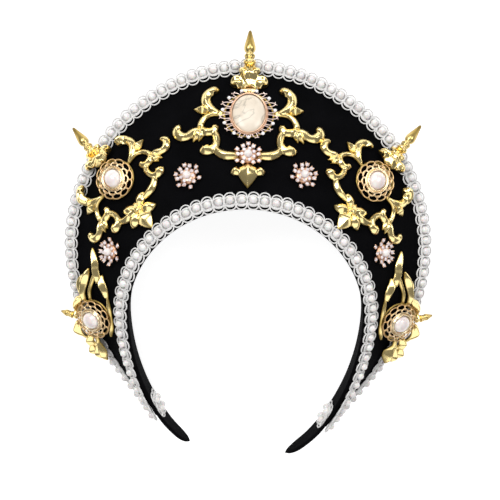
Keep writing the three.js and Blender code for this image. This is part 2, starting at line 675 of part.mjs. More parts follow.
function broochFrame() {
  const outline = Array.from({ length: 2 * FRAME_LOBES }, (_, k) => {
    const radius = k % 2 ? FRAME_RADIUS - 1.1 : FRAME_RADIUS;
    const angle = (TURN * k) / (2 * FRAME_LOBES);
    return new THREE.Vector2(radius * Math.cos(angle), radius * Math.sin(angle));
  });
  const middle = (FRAME_RADIUS + BEZEL_HALF_HEIGHT) / 2;
  const holes = Array.from({ length: FRAME_LOBES }, (_, k) => {
    const angle = (TURN * k) / FRAME_LOBES;
    const half = FRAME_PIERCING / 2;
    return [[-1, 0], [0, 1], [1, 0], [0, -1]].map(([away, beside]) => new THREE.Vector2(
      (middle + away * half * 1.3) * Math.cos(angle) - beside * half * Math.sin(angle),
      (middle + away * half * 1.3) * Math.sin(angle) + beside * half * Math.cos(angle),
    ));
  });
  const geometry = prism(outline, [...holes, ellipse(BEZEL_HALF_WIDTH, BEZEL_HALF_HEIGHT, 12)], FRAME_THICKNESS);
  const place = geometry.getAttribute("position");
  for (let k = 0; k < place.count; k += 1) {
    const away = FRAME_RADIUS - Math.hypot(place.getX(k), place.getY(k));
    place.setZ(k, place.getZ(k) + FRAME_DOME * Math.max(away, 0));
  }
  return geometry;
}

// an oval dome: shares of the half sizes and of the height, ring by ring
function dome(halfWidth, halfHeight, height, sides) {
  const rings = [[0.86, 0], [1, 0.24], [0.84, 0.62], [0.46, 1]];
  return stackBody(rings.map(([wide, high], k) => {
    const count = k === rings.length - 1 ? sides / 2 : sides;
    return ellipse(halfWidth * wide, halfHeight * wide, count)
      .map((p) => new THREE.Vector3(p.x, p.y, high * height));
  }));
}

function stoneSetting() {
  const outline = Array.from({ length: 2 * CROWN_RAYS }, (_, k) => {
    const share = k % 2 ? CROWN_VALLEY : 1;
    const angle = (TURN * k) / (2 * CROWN_RAYS);
    return new THREE.Vector2(CROWN_HALF_WIDTH * share * Math.cos(angle), CROWN_HALF_HEIGHT * share * Math.sin(angle));
  });
  const mouth = ellipse(STONE_HALF_WIDTH + GAP, STONE_HALF_HEIGHT + GAP, 16);
  return prism(outline, [mouth], CROWN_THICKNESS);
}

function starburst() {
  const star = (high) => Array.from({ length: 2 * STAR_RAYS }, (_, k) => {
    const radius = STAR_RADIUS * (k % 2 ? STAR_VALLEY : 1);
    const angle = (TURN * k) / (2 * STAR_RAYS);
    return new THREE.Vector3(radius * Math.cos(angle), radius * Math.sin(angle), high);
  });
  const round = (radius, high, sides) => ellipse(radius, radius, sides)
    .map((p) => new THREE.Vector3(p.x, p.y, high));
  return stackBody([
    star(0), star(STAR_THICKNESS), round(STAR_PEARL, STAR_THICKNESS, 10),
    round(STAR_PEARL * 0.95, STAR_THICKNESS + 0.45 * STAR_PEARL, 10),
    round(STAR_PEARL * 0.5, STAR_THICKNESS + 0.95 * STAR_PEARL, 5),
  ]);
}

function finial(share) {
  const thickness = FINIAL_RADIUS * share;
  return stackBody(FINIAL_OUTLINE.map((row) => {
    const radius = row.radius * thickness;
    return ellipse(radius, radius, FINIAL_SIDES)
      .map((p) => new THREE.Vector3(p.x, p.y, row.along * share * FINIAL_LENGTH));
  }));
}

// stands a finial at the rim in line with its casting, leaning forward from the panel
function finialMatrix(ornament) {
  const spot = spotOf(ornament);
  const start = finialStart(ornament);
  const at = (y, high) => {
    const { s, t } = fromFlat(spot, 0, y);
    return onPanel(s, t, undersideAt(spot, seatRadius(ornament), 0, y, s, t) + high);
  };
  const base = at(start, FINIAL_RADIUS * ornament.finial + GAP);
  const { s, t } = fromFlat(spot, 0, start);
  const normal = onPanel(s, t, 1).sub(onPanel(s, t, 0));
  const next = fromFlat(spot, 0, start + 1);
  const out = onPanel(next.s, next.t).sub(onPanel(s, t)).normalize();
  const axis = out.multiplyScalar(Math.cos(FINIAL_LEAN)).addScaledVector(normal, Math.sin(FINIAL_LEAN)).normalize();
  const side = new THREE.Vector3().crossVectors(normal, axis).normalize();
  return new THREE.Matrix4().makeBasis(side, axis.clone().cross(side), axis).setPosition(base);
}

const velvet = { color: 0x0a0a0c, roughness: 0.95, metalness: 0 };
const ivory = { color: 0xe6e2d8, roughness: 0.45, metalness: 0 };
const pearl = { color: 0xe9e2e6, roughness: 0.25, metalness: 0 };
const gilt = { color: 0xc9a850, roughness: 0.35, metalness: 1 };
const roseGilt = { color: 0xc08a50, roughness: 0.35, metalness: 1 };
const stone = { color: 0xe8dfcc, roughness: 0.3, metalness: 0 };

const hood = new THREE.Group();

function addPiece(name, geometry, finish, matrix = new THREE.Matrix4()) {
  const mesh = new THREE.Mesh(geometry, new THREE.MeshStandardMaterial(finish));
  mesh.name = name;
  mesh.applyMatrix4(matrix);
  hood.add(mesh);
}

addPiece("crescent_panel", crescentPanel(), velvet);
addPiece("headband", headband(), velvet);
addPiece("inner_pearl_braid", pearlBraid(innerRoute()), ivory);
addPiece("outer_pearl_braid", pearlBraid(outerRoute()), ivory);
for (const ornament of ORNAMENTS) {
  const spot = spotOf(ornament);
  const base = SEAT_THICKNESS + FRAME_GAP;
  addPiece(`scroll_casting_${ornament.name}`, scrollCasting(ornament), gilt);
  addPiece(`finial_${ornament.name}`, finial(ornament.finial), gilt, finialMatrix(ornament));
  if (hasCrown(ornament)) {
    addPiece("stone_setting", stoneSetting(), gilt, seatMatrix(spot, base));
    addPiece("centre_stone", dome(STONE_HALF_WIDTH, STONE_HALF_HEIGHT, STONE_HEIGHT, 16), stone,
      seatMatrix(spot, base));
  } else {
    const lift = base + FRAME_DOME * (FRAME_RADIUS - BEZEL_HALF_HEIGHT) - GAP;
    addPiece(`brooch_frame_${ornament.name}`, broochFrame(), roseGilt, seatMatrix(spot, base));
    addPiece(`brooch_pearl_${ornament.name}`, dome(BEZEL_HALF_WIDTH - GAP, BEZEL_HALF_HEIGHT - GAP,
      BROOCH_PEARL_HEIGHT, 12), pearl, seatMatrix(spot, lift));
  }
}
for (const star of STARS) {
  const spot = spotOf({ ...star, rise: 0 });
  const onCasting = star.along === 0 ? SEAT_THICKNESS + FRAME_GAP : 0.5 * GAP;
  addPiece(`starburst_${star.name}`, starburst(), roseGilt, seatMatrix(spot, onCasting));
}

// laid on its back: the slope between the top of the rim and the low ends of the crescent
function restTilt() {
  const back = (s) => onPanel(s, widthAt(s) - PANEL_ROUNDING, -PANEL_THICKNESS);
  const top = back(0);
  const slopes = stations().filter((s) => Math.abs(s) > 0.5 * LEFT_LENGTH).map((s) => {
    const low = back(s);
    return (low.z - top.z) / (top.y - low.y);
  });
  return Math.atan(Math.min(...slopes));
}

const part = new THREE.Group();
hood.rotation.x = restTilt();
part.add(hood);
part.updateMatrixWorld(true);
const box = new THREE.Box3().setFromObject(part, true);
hood.position.set(-(box.min.x + box.max.x) / 2, -(box.min.y + box.max.y) / 2, -box.min.z);
part.updateMatrixWorld(true);

export default part;
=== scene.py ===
import math
import random

import bpy
import numpy as np
from mathutils import Matrix, Vector


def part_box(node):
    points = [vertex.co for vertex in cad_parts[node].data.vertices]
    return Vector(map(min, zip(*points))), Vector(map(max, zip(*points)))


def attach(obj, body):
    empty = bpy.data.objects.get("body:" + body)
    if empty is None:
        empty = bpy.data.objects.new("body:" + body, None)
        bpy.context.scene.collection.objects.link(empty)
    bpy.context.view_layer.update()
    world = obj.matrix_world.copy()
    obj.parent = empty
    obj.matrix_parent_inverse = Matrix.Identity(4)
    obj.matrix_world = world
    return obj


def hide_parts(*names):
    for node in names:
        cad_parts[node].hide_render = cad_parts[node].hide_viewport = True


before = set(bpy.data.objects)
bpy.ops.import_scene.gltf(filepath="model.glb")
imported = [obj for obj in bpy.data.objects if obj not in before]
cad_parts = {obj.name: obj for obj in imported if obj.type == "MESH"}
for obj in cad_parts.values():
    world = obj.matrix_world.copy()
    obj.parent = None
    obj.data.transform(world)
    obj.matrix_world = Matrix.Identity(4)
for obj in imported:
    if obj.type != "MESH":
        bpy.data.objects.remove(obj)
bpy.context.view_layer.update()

random.seed(7)

# the hood's driving sizes, millimetres, as in the solids
MM = 0.001
INNER_RADIUS = 71
INNER_ARC = math.radians(92)
ARM_RADIUS = 140
LEFT_LENGTH = 182
RIGHT_LENGTH = 189
TOP_WIDTH = 94
PANEL_THICKNESS = 4
PANEL_ROUNDING = 1
STATION_STEP = 8.5
END_ROUNDING_FROM = 0.97
GAP = 0.3
BAND_THICKNESS = 2.4
BAND_DEPTH = 14
LEFT_TAIL = 28
RIGHT_TAIL = 32
TAIL_RADIUS = 75
BRAID_WIDTH = 11.5
BRAID_THICKNESS = 1.2
BRAID_GAP = 0.4
PEARL_RADIUS = 2.35
PEARL_HEIGHT = 2.8
PEARL_PITCH = 6.45
INNER_BRAID_AT = 2.4
OUTER_BRAID_IN = 5
BRAID_PAST_END = 0.75
CORNER_RADIUS = 6.2
BRAID_TOP = BRAID_GAP + BRAID_THICKNESS + PEARL_HEIGHT
CLIMB = 5
CLIMB_END = 0.7
LANDING = 8
SEAT_THICKNESS = 1.3
SEAT_MARGIN = 0.7
FRAME_GAP = 0.4
FRAME_RADIUS = 12.5
FRAME_DOME = 0.3
BEZEL_HALF_WIDTH = 5.3
BEZEL_HALF_HEIGHT = 5.9
CROWN_HALF_WIDTH = 17.3
CROWN_HALF_HEIGHT = 16.3
STONE_HALF_WIDTH = 9.7
STONE_HALF_HEIGHT = 12.5
STAR_RADIUS = 8.5
FINIAL_LENGTH = 17
FINIAL_RADIUS = 3.1
FINIAL_LEAN = math.radians(6)
FINIAL_INSIDE = 3.5
NECK_LENGTH = 4
CASTING_HEIGHT = 2.2

SECTIONS = {
    "along": (0, 0.2, 0.4, 0.6, 0.75, 0.88, 1),
    "width": (1, 0.907, 0.715, 0.483, 0.335, 0.277, 0.25),
    "lean": (45, 44.5, 42.5, 42.5, 49, 63, 74),
}
# name, share of the arm's length, share of the width, scale, turn and swing of the side scrolls in
# degrees, rise as a share of the braid's height, and share of a finial's full length
ORNAMENTS = (
    ("top", 0, 0.605, 1, 0, 0, 0, 1),
    ("upper_left", -0.314, 0.625, 0.87, 3, 8, 0.4, 0.9),
    ("upper_right", 0.29, 0.587, 0.86, -3, -8, 0.4, 0.9),
    ("lower_left", -0.645, 0.56, 1, 0, 0, 0.72, 0.6),
    ("lower_right", 0.618, 0.54, 1, 0, 0, 0.72, 0.6),
)
# name, share of the arm's length, share of the width
STARS = (
    ("top", 0, 0.318),
    ("upper_left", -0.154, 0.271),
    ("upper_right", 0.137, 0.275),
    ("lower_left", -0.447, 0.334),
    ("lower_right", 0.423, 0.333),
)

# the photograph's view: pixels of the 500 pixel picture, and the view's tilt
PICTURE = 500
MM_PER_PIXEL = 0.56
PIXELS_AWAY = 1200
VIEW_DISTANCE = PIXELS_AWAY * MM_PER_PIXEL
VIEW_TILT = math.radians(22.5)
VIEW_ROLL = math.radians(0.9)
ARCH_X = 247.4
ARCH_Y = 199.2


# the shape of the crescent, for numbers and arrays alike
def read(column, along):
    rows = np.array(SECTIONS["along"], float)
    values = np.array(SECTIONS[column], float)
    slopes = np.zeros(len(rows))
    slopes[1:-1] = (values[2:] - values[:-2]) / (rows[2:] - rows[:-2])
    slopes[-1] = (values[-1] - values[-2]) / (rows[-1] - rows[-2])
    low = np.clip(np.searchsorted(rows, along, side="left") - 1, 0, len(rows) - 2)
    span = rows[low + 1] - rows[low]
    u = (along - rows[low]) / span
    return ((2 * u**3 - 3 * u**2 + 1) * values[low] + (u**3 - 2 * u**2 + u) * span * slopes[low]
            + (3 * u**2 - 2 * u**3) * values[low + 1] + (u**3 - u**2) * span * slopes[low + 1])


def arm_length(s):
    return np.where(np.asarray(s) < 0, LEFT_LENGTH, RIGHT_LENGTH)


def share_of(s):
    return np.minimum(np.abs(s) / arm_length(s), 1.0)


def width_at(s):
    return TOP_WIDTH * read("width", share_of(s))


def lean_at(s):
    return np.radians(read("lean", share_of(s)))


def edge_at(s):
    s = np.asarray(s, float)
    way = np.abs(s)
    side = np.where(s < 0, -1.0, 1.0)
    arc = INNER_RADIUS * INNER_ARC
    in_arm = np.minimum(way, arm_length(s)) - arc
    past = np.maximum(way - arm_length(s), 0)
    heading = np.where(way <= arc, way / INNER_RADIUS, INNER_ARC + in_arm / ARM_RADIUS)
    shift = INNER_RADIUS - ARM_RADIUS
    x = np.where(way <= arc, INNER_RADIUS * np.sin(heading),
                 shift * np.sin(INNER_ARC) + ARM_RADIUS * np.sin(heading) + past * np.cos(heading))
    y = np.where(way <= arc, INNER_RADIUS * np.cos(heading),
                 shift * np.cos(INNER_ARC) + ARM_RADIUS * np.cos(heading) - past * np.sin(heading))
    bend = np.where(way <= arc, 1 / INNER_RADIUS, 1 / ARM_RADIUS)
    return side * x, y, side * heading, bend


def stack(x, y, z):
    return np.stack(np.broadcast_arrays(x, y, z), axis=-1).astype(float)


def on_panel(s, t, h=0.0):
    x, y, heading, bend = edge_at(s)
    lean = lean_at(s)
    twist = lean_at(np.asarray(s) + 0.5) - lean_at(np.asarray(s) - 0.5)
    across = stack(np.sin(heading) * np.cos(lean), np.cos(heading) * np.cos(lean), -np.sin(lean))
    ahead = stack(np.cos(heading), -np.sin(heading), 0 * heading)
    normal = stack(np.sin(heading) * np.sin(lean), np.cos(heading) * np.sin(lean), np.cos(lean))
    t, h = np.asarray(t, float), np.asarray(h, float)
    stretch = 1 + t * bend * np.cos(lean)
    normal = normal * stretch[..., None] + ahead * (t * twist)[..., None]
    normal = normal / np.linalg.norm(normal, axis=-1, keepdims=True)
    return stack(x, y, 0 * x) + across * t[..., None] + normal * h[..., None]


def pattern_radius(s):
    return 1 / (max(float(edge_at(s)[3]), 1 / INNER_RADIUS) * math.cos(float(lean_at(s))))


def spot_of(along, up, turn=0, rise=0):
    s = along * float(arm_length(along))
    width = float(width_at(s))
    stretch = 1 + up * width / pattern_radius(s)
    rim = math.atan((float(width_at(s + 1)) - float(width_at(s - 1))) / (2 * stretch))
    height = max(rise * BRAID_TOP, GAP)
    return {"s": s, "t": up * width, "width": width, "rim": rim, "turn": math.radians(turn),
            "rise": height, "slope": (height - GAP) / FRAME_RADIUS, "crown": rise == 0}


def from_flat(spot, x, y):
    radius = pattern_radius(spot["s"])
    cos, sin = math.cos(spot["turn"]), math.sin(spot["turn"])
    flat_x, flat_y = x * cos - y * sin, x * sin + y * cos
    rho = np.hypot(flat_x, radius + spot["t"] + flat_y)
    angle = np.arctan2(flat_x, radius + spot["t"] + flat_y)
    return spot["s"] + angle * radius, rho - radius


def smooth(value, start, end):
    share = np.clip((value - start) / (end - start), 0, 1)
    return share * share * (3 - 2 * share)


def seat_radius(spot):
    return (CROWN_HALF_WIDTH if spot["crown"] else FRAME_RADIUS) + SEAT_MARGIN


def underside_at(spot, x, y, s, t):
    seat = seat_radius(spot)
    braid_side = width_at(s) - OUTER_BRAID_IN - BRAID_WIDTH / 2
    climb = smooth(t, braid_side - CLIMB - CLIMB_END, braid_side - CLIMB_END)
    away = np.hypot(x, y)
    free = smooth(away, seat, seat + 0.5 * CLIMB)
    held = 1 - smooth(away, seat + 0.5 * CLIMB, seat + 0.5 * CLIMB + LANDING)
    angle = spot["turn"] - spot["rim"]
    plane = spot["rise"] - GAP + spot["slope"] * (x * math.sin(angle) + y * math.cos(angle))
    return GAP + np.maximum(np.maximum(plane, 0) * held, BRAID_TOP * climb * free)


def ornament_points(spot, points):
    x, y, z = points[:, 0], points[:, 1], points[:, 2]
    s, t = from_flat(spot, x, y)
    return on_panel(s, t, underside_at(spot, x, y, s, t) + z)


# laid on its back: the rest tilt, and the shift that the solids have
def stations():
    def reach(length):
        return np.linspace(0, length, round(length / STATION_STEP) + 1)
    return np.concatenate([-reach(LEFT_LENGTH)[::-1], reach(RIGHT_LENGTH)[1:]])


def rest_tilt():
    s = stations()
    back = on_panel(s, width_at(s) - PANEL_ROUNDING, -PANEL_THICKNESS)
    top = back[np.argmin(np.abs(s))]
    low = back[np.abs(s) > 0.5 * LEFT_LENGTH]
    return math.atan(np.min((low[:, 2] - top[2]) / (top[1] - low[:, 1])))


def rest_matrix():
    turned = Matrix.Rotation(rest_tilt(), 4, "X")
    s = stations()
    rounding = PANEL_ROUNDING * smooth(share_of(s), END_ROUNDING_FROM, 1)
    rim = on_panel(s, width_at(s) - rounding, -PANEL_ROUNDING)
    points = np.array([turned @ Vector(p) for p in rim])
    low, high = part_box("crescent_panel")
    shift = Vector(((low[0] + high[0]) / 2 / MM - (points[:, 0].min() + points[:, 0].max()) / 2,
                    high[1] / MM - points[:, 1].max(), 0))
    back = on_panel(s, width_at(s) - PANEL_ROUNDING, -PANEL_THICKNESS)
    shift.z = low[2] / MM - min((turned @ Vector(p)).z for p in back)
    return Matrix.Scale(MM, 4) @ Matrix.Translation(shift) @ turned


REST = rest_matrix()
REST_ARRAY = np.array(REST)


def to_world(points):
    return points @ REST_ARRAY[:3, :3].T + REST_ARRAY[:3, 3]


def seat_matrix(spot, height):
    def at(t, h):
        return Vector(on_panel(spot["s"], t, h))

    normal = at(spot["t"], 1) - at(spot["t"], 0)
    up = (at(spot["t"] + 1, 0) - at(spot["t"], 0)).normalized()
    side = up.cross(normal).normalized()

    def facing(angle):
        return side * math.cos(angle) + up * math.sin(angle)

    hinge = facing(spot["rim"])
    climb = (facing(spot["rim"] + math.pi / 2) + normal * spot["slope"]).normalized()
    top = hinge.cross(climb)
    origin = at(spot["t"], spot["rise"]) + top * height
    basis = Matrix((hinge, climb, top)).transposed().to_4x4()
    return REST @ Matrix.Translation(origin) @ basis @ Matrix.Rotation(spot["turn"] - spot["rim"], 4, "Z")


def finial_start(spot):
    return max(spot["width"] - spot["t"] - FINIAL_INSIDE, seat_radius(spot) + NECK_LENGTH)


def finial_matrix(spot, share):
    start = finial_start(spot)
    zero = np.zeros(1)
    spots = [from_flat(spot, zero, np.array([start + step])) for step in (0.0, 1.0)]
    (s, t), (s_next, t_next) = spots
    base = Vector(on_panel(s, t, underside_at(spot, zero, np.array([start]), s, t)
                           + FINIAL_RADIUS * share + GAP)[0])
    foot = Vector(on_panel(s, t)[0])
    normal = Vector(on_panel(s, t, np.ones(1))[0]) - foot
    out = (Vector(on_panel(s_next, t_next)[0]) - foot).normalized()
    axis = (out * math.cos(FINIAL_LEAN) + normal * math.sin(FINIAL_LEAN)).normalized()
    side = normal.cross(axis).normalized()
    basis = Matrix((side, axis.cross(side), axis)).transposed().to_4x4()
    return REST @ Matrix.Translation(base) @ basis


# small modelling helpers
# vertices nearer than this are merged, in a mesh in metres and in one in millimetres
MERGE_METRES = 1e-6
MERGE_MILLIMETRES = 1e-5


def settle(name):
    piece = bpy.context.active_object
    if bpy.context.mode != "OBJECT":
        bpy.ops.object.mode_set(mode="OBJECT")
    piece.name = name
    piece.data.name = name
    return piece


def deselect():
    if bpy.context.mode != "OBJECT":
        bpy.ops.object.mode_set(mode="OBJECT")
    bpy.ops.object.select_all(action="DESELECT")


def only(piece):
    deselect()
    piece.select_set(True)
    bpy.context.view_layer.objects.active = piece


def edit_all():
    bpy.ops.object.mode_set(mode="EDIT")
    bpy.ops.mesh.select_all(action="SELECT")


def apply_place(scale=False):
    bpy.ops.object.transform_apply(location=True, rotation=False, scale=scale)


def rounded(piece):
    only(piece)
    bpy.ops.object.shade_smooth()
    return piece


def clean(piece, merge):
    only(piece)
    edit_all()
    bpy.ops.mesh.remove_doubles(threshold=merge)
    bpy.ops.mesh.normals_make_consistent(inside=False)
    return rounded(piece)


def vertices_of(piece):
    points = np.empty(len(piece.data.vertices) * 3)
    piece.data.vertices.foreach_get("co", points)
    return points.reshape(-1, 3)


def set_vertices(piece, points):
    piece.data.vertices.foreach_set("co", np.asarray(points, float).ravel())
    piece.data.update()


def shaped_grid(name, columns, rows, place):
    """a grid whose two shares are given a place; edges that meet are merged"""
    deselect()
    bpy.ops.mesh.primitive_grid_add(x_subdivisions=columns, y_subdivisions=rows, size=1)
    piece = settle(name)
    shares = vertices_of(piece) + 0.5
    set_vertices(piece, place(shares[:, 0], shares[:, 1]))
    return clean(piece, MERGE_METRES)


def join(name, parts):
    deselect()
    for part in parts:
        part.select_set(True)
    bpy.context.view_layer.objects.active = parts[0]
    bpy.ops.object.join()
    return settle(name)


def apply_modifier(piece, kind, **values):
    only(piece)
    bpy.ops.object.modifier_add(type=kind)
    modifier = piece.modifiers[-1]
    for key, value in values.items():
        setattr(modifier, key, value)
    bpy.ops.object.modifier_apply(modifier=modifier.name)
    return piece


def copy_of(piece, name):
    copy = piece.copy()
    copy.data = piece.data.copy()
    copy.name = name
    copy.data.name = name
    bpy.context.collection.objects.link(copy)
    return copy


def drop(*pieces):
    for piece in pieces:
        bpy.data.objects.remove(piece)


def store(piece, name, values):
    attribute = piece.data.attributes.new(name, "FLOAT", "POINT")
    attribute.data.foreach_set("value", np.asarray(values, float))


def finish_piece(piece, material, node=None):
    piece.data.materials.clear()
    piece.data.materials.append(material)
    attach(piece, "root")
    if node:
        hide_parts(node)
    return piece


def repeated(name, cell, matrices):
    """one mesh of a small cell placed many times"""
    points = vertices_of(cell)
    counts = np.array([len(p.vertices) for p in cell.data.polygons])
    corners = np.array([v for p in cell.data.polygons for v in p.vertices])
    blocks, rings = [], []
    for k, matrix in enumerate(matrices):
        m = np.array(matrix)
        blocks.append(points @ m[:3, :3].T + m[:3, 3])
        rings.append(corners + k * len(points))
    mesh = bpy.data.meshes.new(name)
    everything = np.concatenate(blocks)
    loops = np.concatenate(rings)
    sizes = np.tile(counts, len(matrices))
    mesh.vertices.add(len(everything))
    mesh.vertices.foreach_set("co", everything.ravel())
    mesh.loops.add(len(loops))
    mesh.loops.foreach_set("vertex_index", loops)
    mesh.polygons.add(len(sizes))
    mesh.polygons.foreach_set("loop_start", np.concatenate([[0], np.cumsum(sizes)[:-1]]))
    mesh.polygons.foreach_set("loop_total", sizes)
    mesh.update(calc_edges=True)
    mesh.validate()
    piece = bpy.data.objects.new(name, mesh)
    bpy.context.collection.objects.link(piece)
    return rounded(piece)


def wires(name, routes, radius, sides=2, closed=False):
    """round wires along smooth routes, made one mesh; sizes in millimetres"""
    curve = bpy.data.curves.new(name, "CURVE")
    curve.dimensions = "3D"
    curve.bevel_depth = radius
    curve.bevel_resolution = sides
    curve.use_fill_caps = True
    curve.resolution_u = 3
    for route in routes:
        spline = curve.splines.new("NURBS")
        spline.points.add(len(route) - 1)
        for point, (x, y, z) in zip(spline.points, route):
            point.co = (x, y, z, 1)
        spline.order_u = 4
        spline.use_endpoint_u = not closed
        spline.use_cyclic_u = closed
    piece = bpy.data.objects.new(name, curve)
    bpy.context.collection.objects.link(piece)
    only(piece)
    bpy.ops.object.convert(target="MESH")
    return settle(name)


def lathe(name, profile, sides):
    """a disc pulled up ring by ring: radius and height of each ring"""
    deselect()
    radius, height = profile[0]
    bpy.ops.mesh.primitive_circle_add(vertices=sides, radius=radius, fill_type="NGON",
                                      location=(0, 0, height))
    apply_place()
    edit_all()
    for wide, high in profile[1:]:
        bpy.ops.mesh.extrude_region_move(TRANSFORM_OT_translate={"value": (0, 0, high - height)})
        share = max(wide, 1e-4) / max(radius, 1e-4)
        bpy.ops.transform.resize(value=(share, share, 1), center_override=(0, 0, high))
        radius, height = wide, high
    return clean(settle(name), MERGE_MILLIMETRES)


# materials
def set_inputs(node, **values):
    """sets sockets by name, an underscore standing for a space"""
    for key, value in values.items():
        node.inputs[key.replace("_", " ")].default_value = value
    return node


def new_material(name, **values):
    material = bpy.data.materials.new(name)
    material.use_nodes = True
    shader = set_inputs(material.node_tree.nodes["Principled BSDF"], **values)
    return material, material.node_tree.nodes, material.node_tree.links, shader


def noise_on(nodes, links, place, **values):
    noise = set_inputs(nodes.new("ShaderNodeTexNoise"), **values)
    links.new(place.outputs["Object"], noise.inputs["Vector"])
    return noise


def grain_group():
    """fine unevenness: a value between 0 and 1 and a bumped normal"""
    group = bpy.data.node_groups.new("fine_grain", "ShaderNodeTree")
    face = group.interface
    for name, value in (("Scale", 900), ("Depth", 0.2)):
        face.new_socket(name=name, in_out="INPUT", socket_type="NodeSocketFloat").default_value = value
    face.new_socket(name="Value", in_out="OUTPUT", socket_type="NodeSocketFloat")
    face.new_socket(name="Normal", in_out="OUTPUT", socket_type="NodeSocketVector")
    nodes, links = group.nodes, group.links
    start, end = nodes.new("NodeGroupInput"), nodes.new("NodeGroupOutput")
    noise = noise_on(nodes, links, nodes.new("ShaderNodeTexCoord"), Detail=4)
    bump = set_inputs(nodes.new("ShaderNodeBump"), Distance=0.0004)
    links.new(start.outputs["Scale"], noise.inputs["Scale"])
    links.new(noise.outputs["Fac"], bump.inputs["Height"])
    links.new(start.outputs["Depth"], bump.inputs["Strength"])
    links.new(noise.outputs["Fac"], end.inputs["Value"])
    links.new(bump.outputs["Normal"], end.inputs["Normal"])
    return group


GRAIN = grain_group()


def add_grain(nodes, scale, depth):
    node = nodes.new("ShaderNodeGroup")
    node.node_tree = GRAIN
    return set_inputs(node, Scale=scale, Depth=depth)


def ramp(nodes, stops):
    node = nodes.new("ShaderNodeValToRGB")
    elements = node.color_ramp.elements
    while len(elements) < len(stops):
        elements.new(0.5)
    for element, (place, colour) in zip(elements, stops):
        element.position = place
        element.color = (*colour, 1)
    return node


def tint(nodes, links, shader, value, stops):
    """the base colour runs through the stops as the value rises"""
    colours = ramp(nodes, stops)
    links.new(value, colours.inputs["Fac"])
    links.new(colours.outputs["Color"], shader.inputs["Base Color"])


def weighed(nodes, links, value, weight, other):
    """the value times its weight, added to the other"""
    node = nodes.new("ShaderNodeMath")
    node.operation = "MULTIPLY_ADD"
    node.inputs[1].default_value = weight
    links.new(value, node.inputs[0])
    links.new(other, node.inputs[2])
    return node.outputs[0]


def metal(name, dark, mid, light, roughness=0.26):
    """gilt metal: a stored attribute, low in the pieces' recesses and lower parts and high on their ridges,
    runs the colour from dark painted shade to the full colour and the roughness from dull to glossy
    """
    recess_roughness = roughness + 0.2
    material, nodes, links, shader = new_material(name, Metallic=1.0)
    shade_crest = nodes.new("ShaderNodeAttribute")
    shade_crest.attribute_name = "shade_crest"
    grain = add_grain(nodes, scale=420, depth=0.025)
    # painted shade: random grain lifts the stored value a little before it picks the colour, so the recesses
    # are painted dark
    shade_and_grain = weighed(nodes, links, grain.outputs["Value"], 0.22, shade_crest.outputs["Fac"])
    tint(nodes, links, shader, shade_and_grain, ((0.1, dark), (0.45, mid), (0.95, light)))
    rough = set_inputs(nodes.new("ShaderNodeMapRange"), To_Min=recess_roughness, To_Max=roughness)
    links.new(shade_crest.outputs["Fac"], rough.inputs["Value"])
    links.new(rough.outputs["Result"], shader.inputs["Roughness"])
    links.new(grain.outputs["Normal"], shader.inputs["Normal"])
    return material


def velvet(name, colour, sheen):
    """deep pile: its colour lightens in patches where the nap is brushed"""
    material, nodes, links, shader = new_material(
        name, Roughness=0.95, Sheen_Weight=sheen, Sheen_Roughness=0.4,
        Sheen_Tint=(0.5, 0.5, 0.56, 1), Specular_IOR_Level=0.04)
    grain = add_grain(nodes, scale=2600, depth=0.5)
    nap = noise_on(nodes, links, nodes.new("ShaderNodeTexCoord"), Scale=60)
    brushed = weighed(nodes, links, grain.outputs["Value"], 0.4, nap.outputs["Fac"])
    bright = tuple(min(1, c * 2.4) for c in colour)
    tint(nodes, links, shader, brushed, ((0.35, colour), (1.0, bright)))
    links.new(grain.outputs["Normal"], shader.inputs["Normal"])
    return material


def pearl(name, dark, light, coat=0.7, roughness=0.2):
    material, nodes, links, shader = new_material(
        name, Roughness=roughness, Coat_Weight=coat, Coat_Roughness=0.08,
        Subsurface_Weight=0.15, Subsurface_Scale=0.001)
    grain = add_grain(nodes, scale=160, depth=0.04)
    tint(nodes, links, shader, grain.outputs["Value"], ((0.35, dark), (0.65, light)))
    links.new(grain.outputs["Normal"], shader.inputs["Normal"])
    return material


def thread(name, dark, light):
    material, nodes, links, shader = new_material(name, Roughness=0.6, Sheen_Weight=0.3)
    grain = add_grain(nodes, scale=1800, depth=0.6)
    tint(nodes, links, shader, grain.outputs["Value"], ((0.3, dark), (0.65, light)))
    links.new(grain.outputs["Normal"], shader.inputs["Normal"])
    return material


def veined_stone(name):
    """clouded cream, with grey veins where a second noise crosses its middle"""
    material, nodes, links, shader = new_material(name, Roughness=0.3, Coat_Weight=0.25)
    place = nodes.new("ShaderNodeTexCoord")
    cloud = noise_on(nodes, links, place, Scale=130, Detail=8, Distortion=1.2)
    crack = noise_on(nodes, links, place, Scale=42, Detail=3, Distortion=1.6)
    colours = ramp(nodes, ((0.3, (0.66, 0.57, 0.46)), (0.42, (0.74, 0.65, 0.53)), (0.7, (0.8, 0.71, 0.59))))
    veins = ramp(nodes, ((0.0, (0.62, 0.62, 0.62)), (0.01, (0.85, 0.85, 0.84)), (0.03, (1.0, 1.0, 1.0))))
    centred, folded = nodes.new("ShaderNodeMath"), nodes.new("ShaderNodeMath")
    centred.operation = "SUBTRACT"
    folded.operation = "ABSOLUTE"
    stained = nodes.new("ShaderNodeMix")
    stained.data_type = "RGBA"
    stained.blend_type = "MULTIPLY"
    stained.inputs[0].default_value = 1
    grain = add_grain(nodes, scale=500, depth=0.05)
    links.new(cloud.outputs["Fac"], colours.inputs["Fac"])
    links.new(crack.outputs["Fac"], centred.inputs[0])
    links.new(centred.outputs[0], folded.inputs[0])
    links.new(folded.outputs[0], veins.inputs["Fac"])
    links.new(colours.outputs["Color"], stained.inputs[6])
    links.new(veins.outputs["Color"], stained.inputs[7])
    links.new(stained.outputs[2], shader.inputs["Base Color"])
    links.new(grain.outputs["Normal"], shader.inputs["Normal"])
    return material


def crystal(name, dark, light):
    material, nodes, links, shader = new_material(
        name, Roughness=0.06, Coat_Weight=1.0, Specular_IOR_Level=0.9)
    grain = add_grain(nodes, scale=700, depth=0.02)
    tint(nodes, links, shader, grain.outputs["Value"], ((0.3, dark), (0.7, light)))
    return material


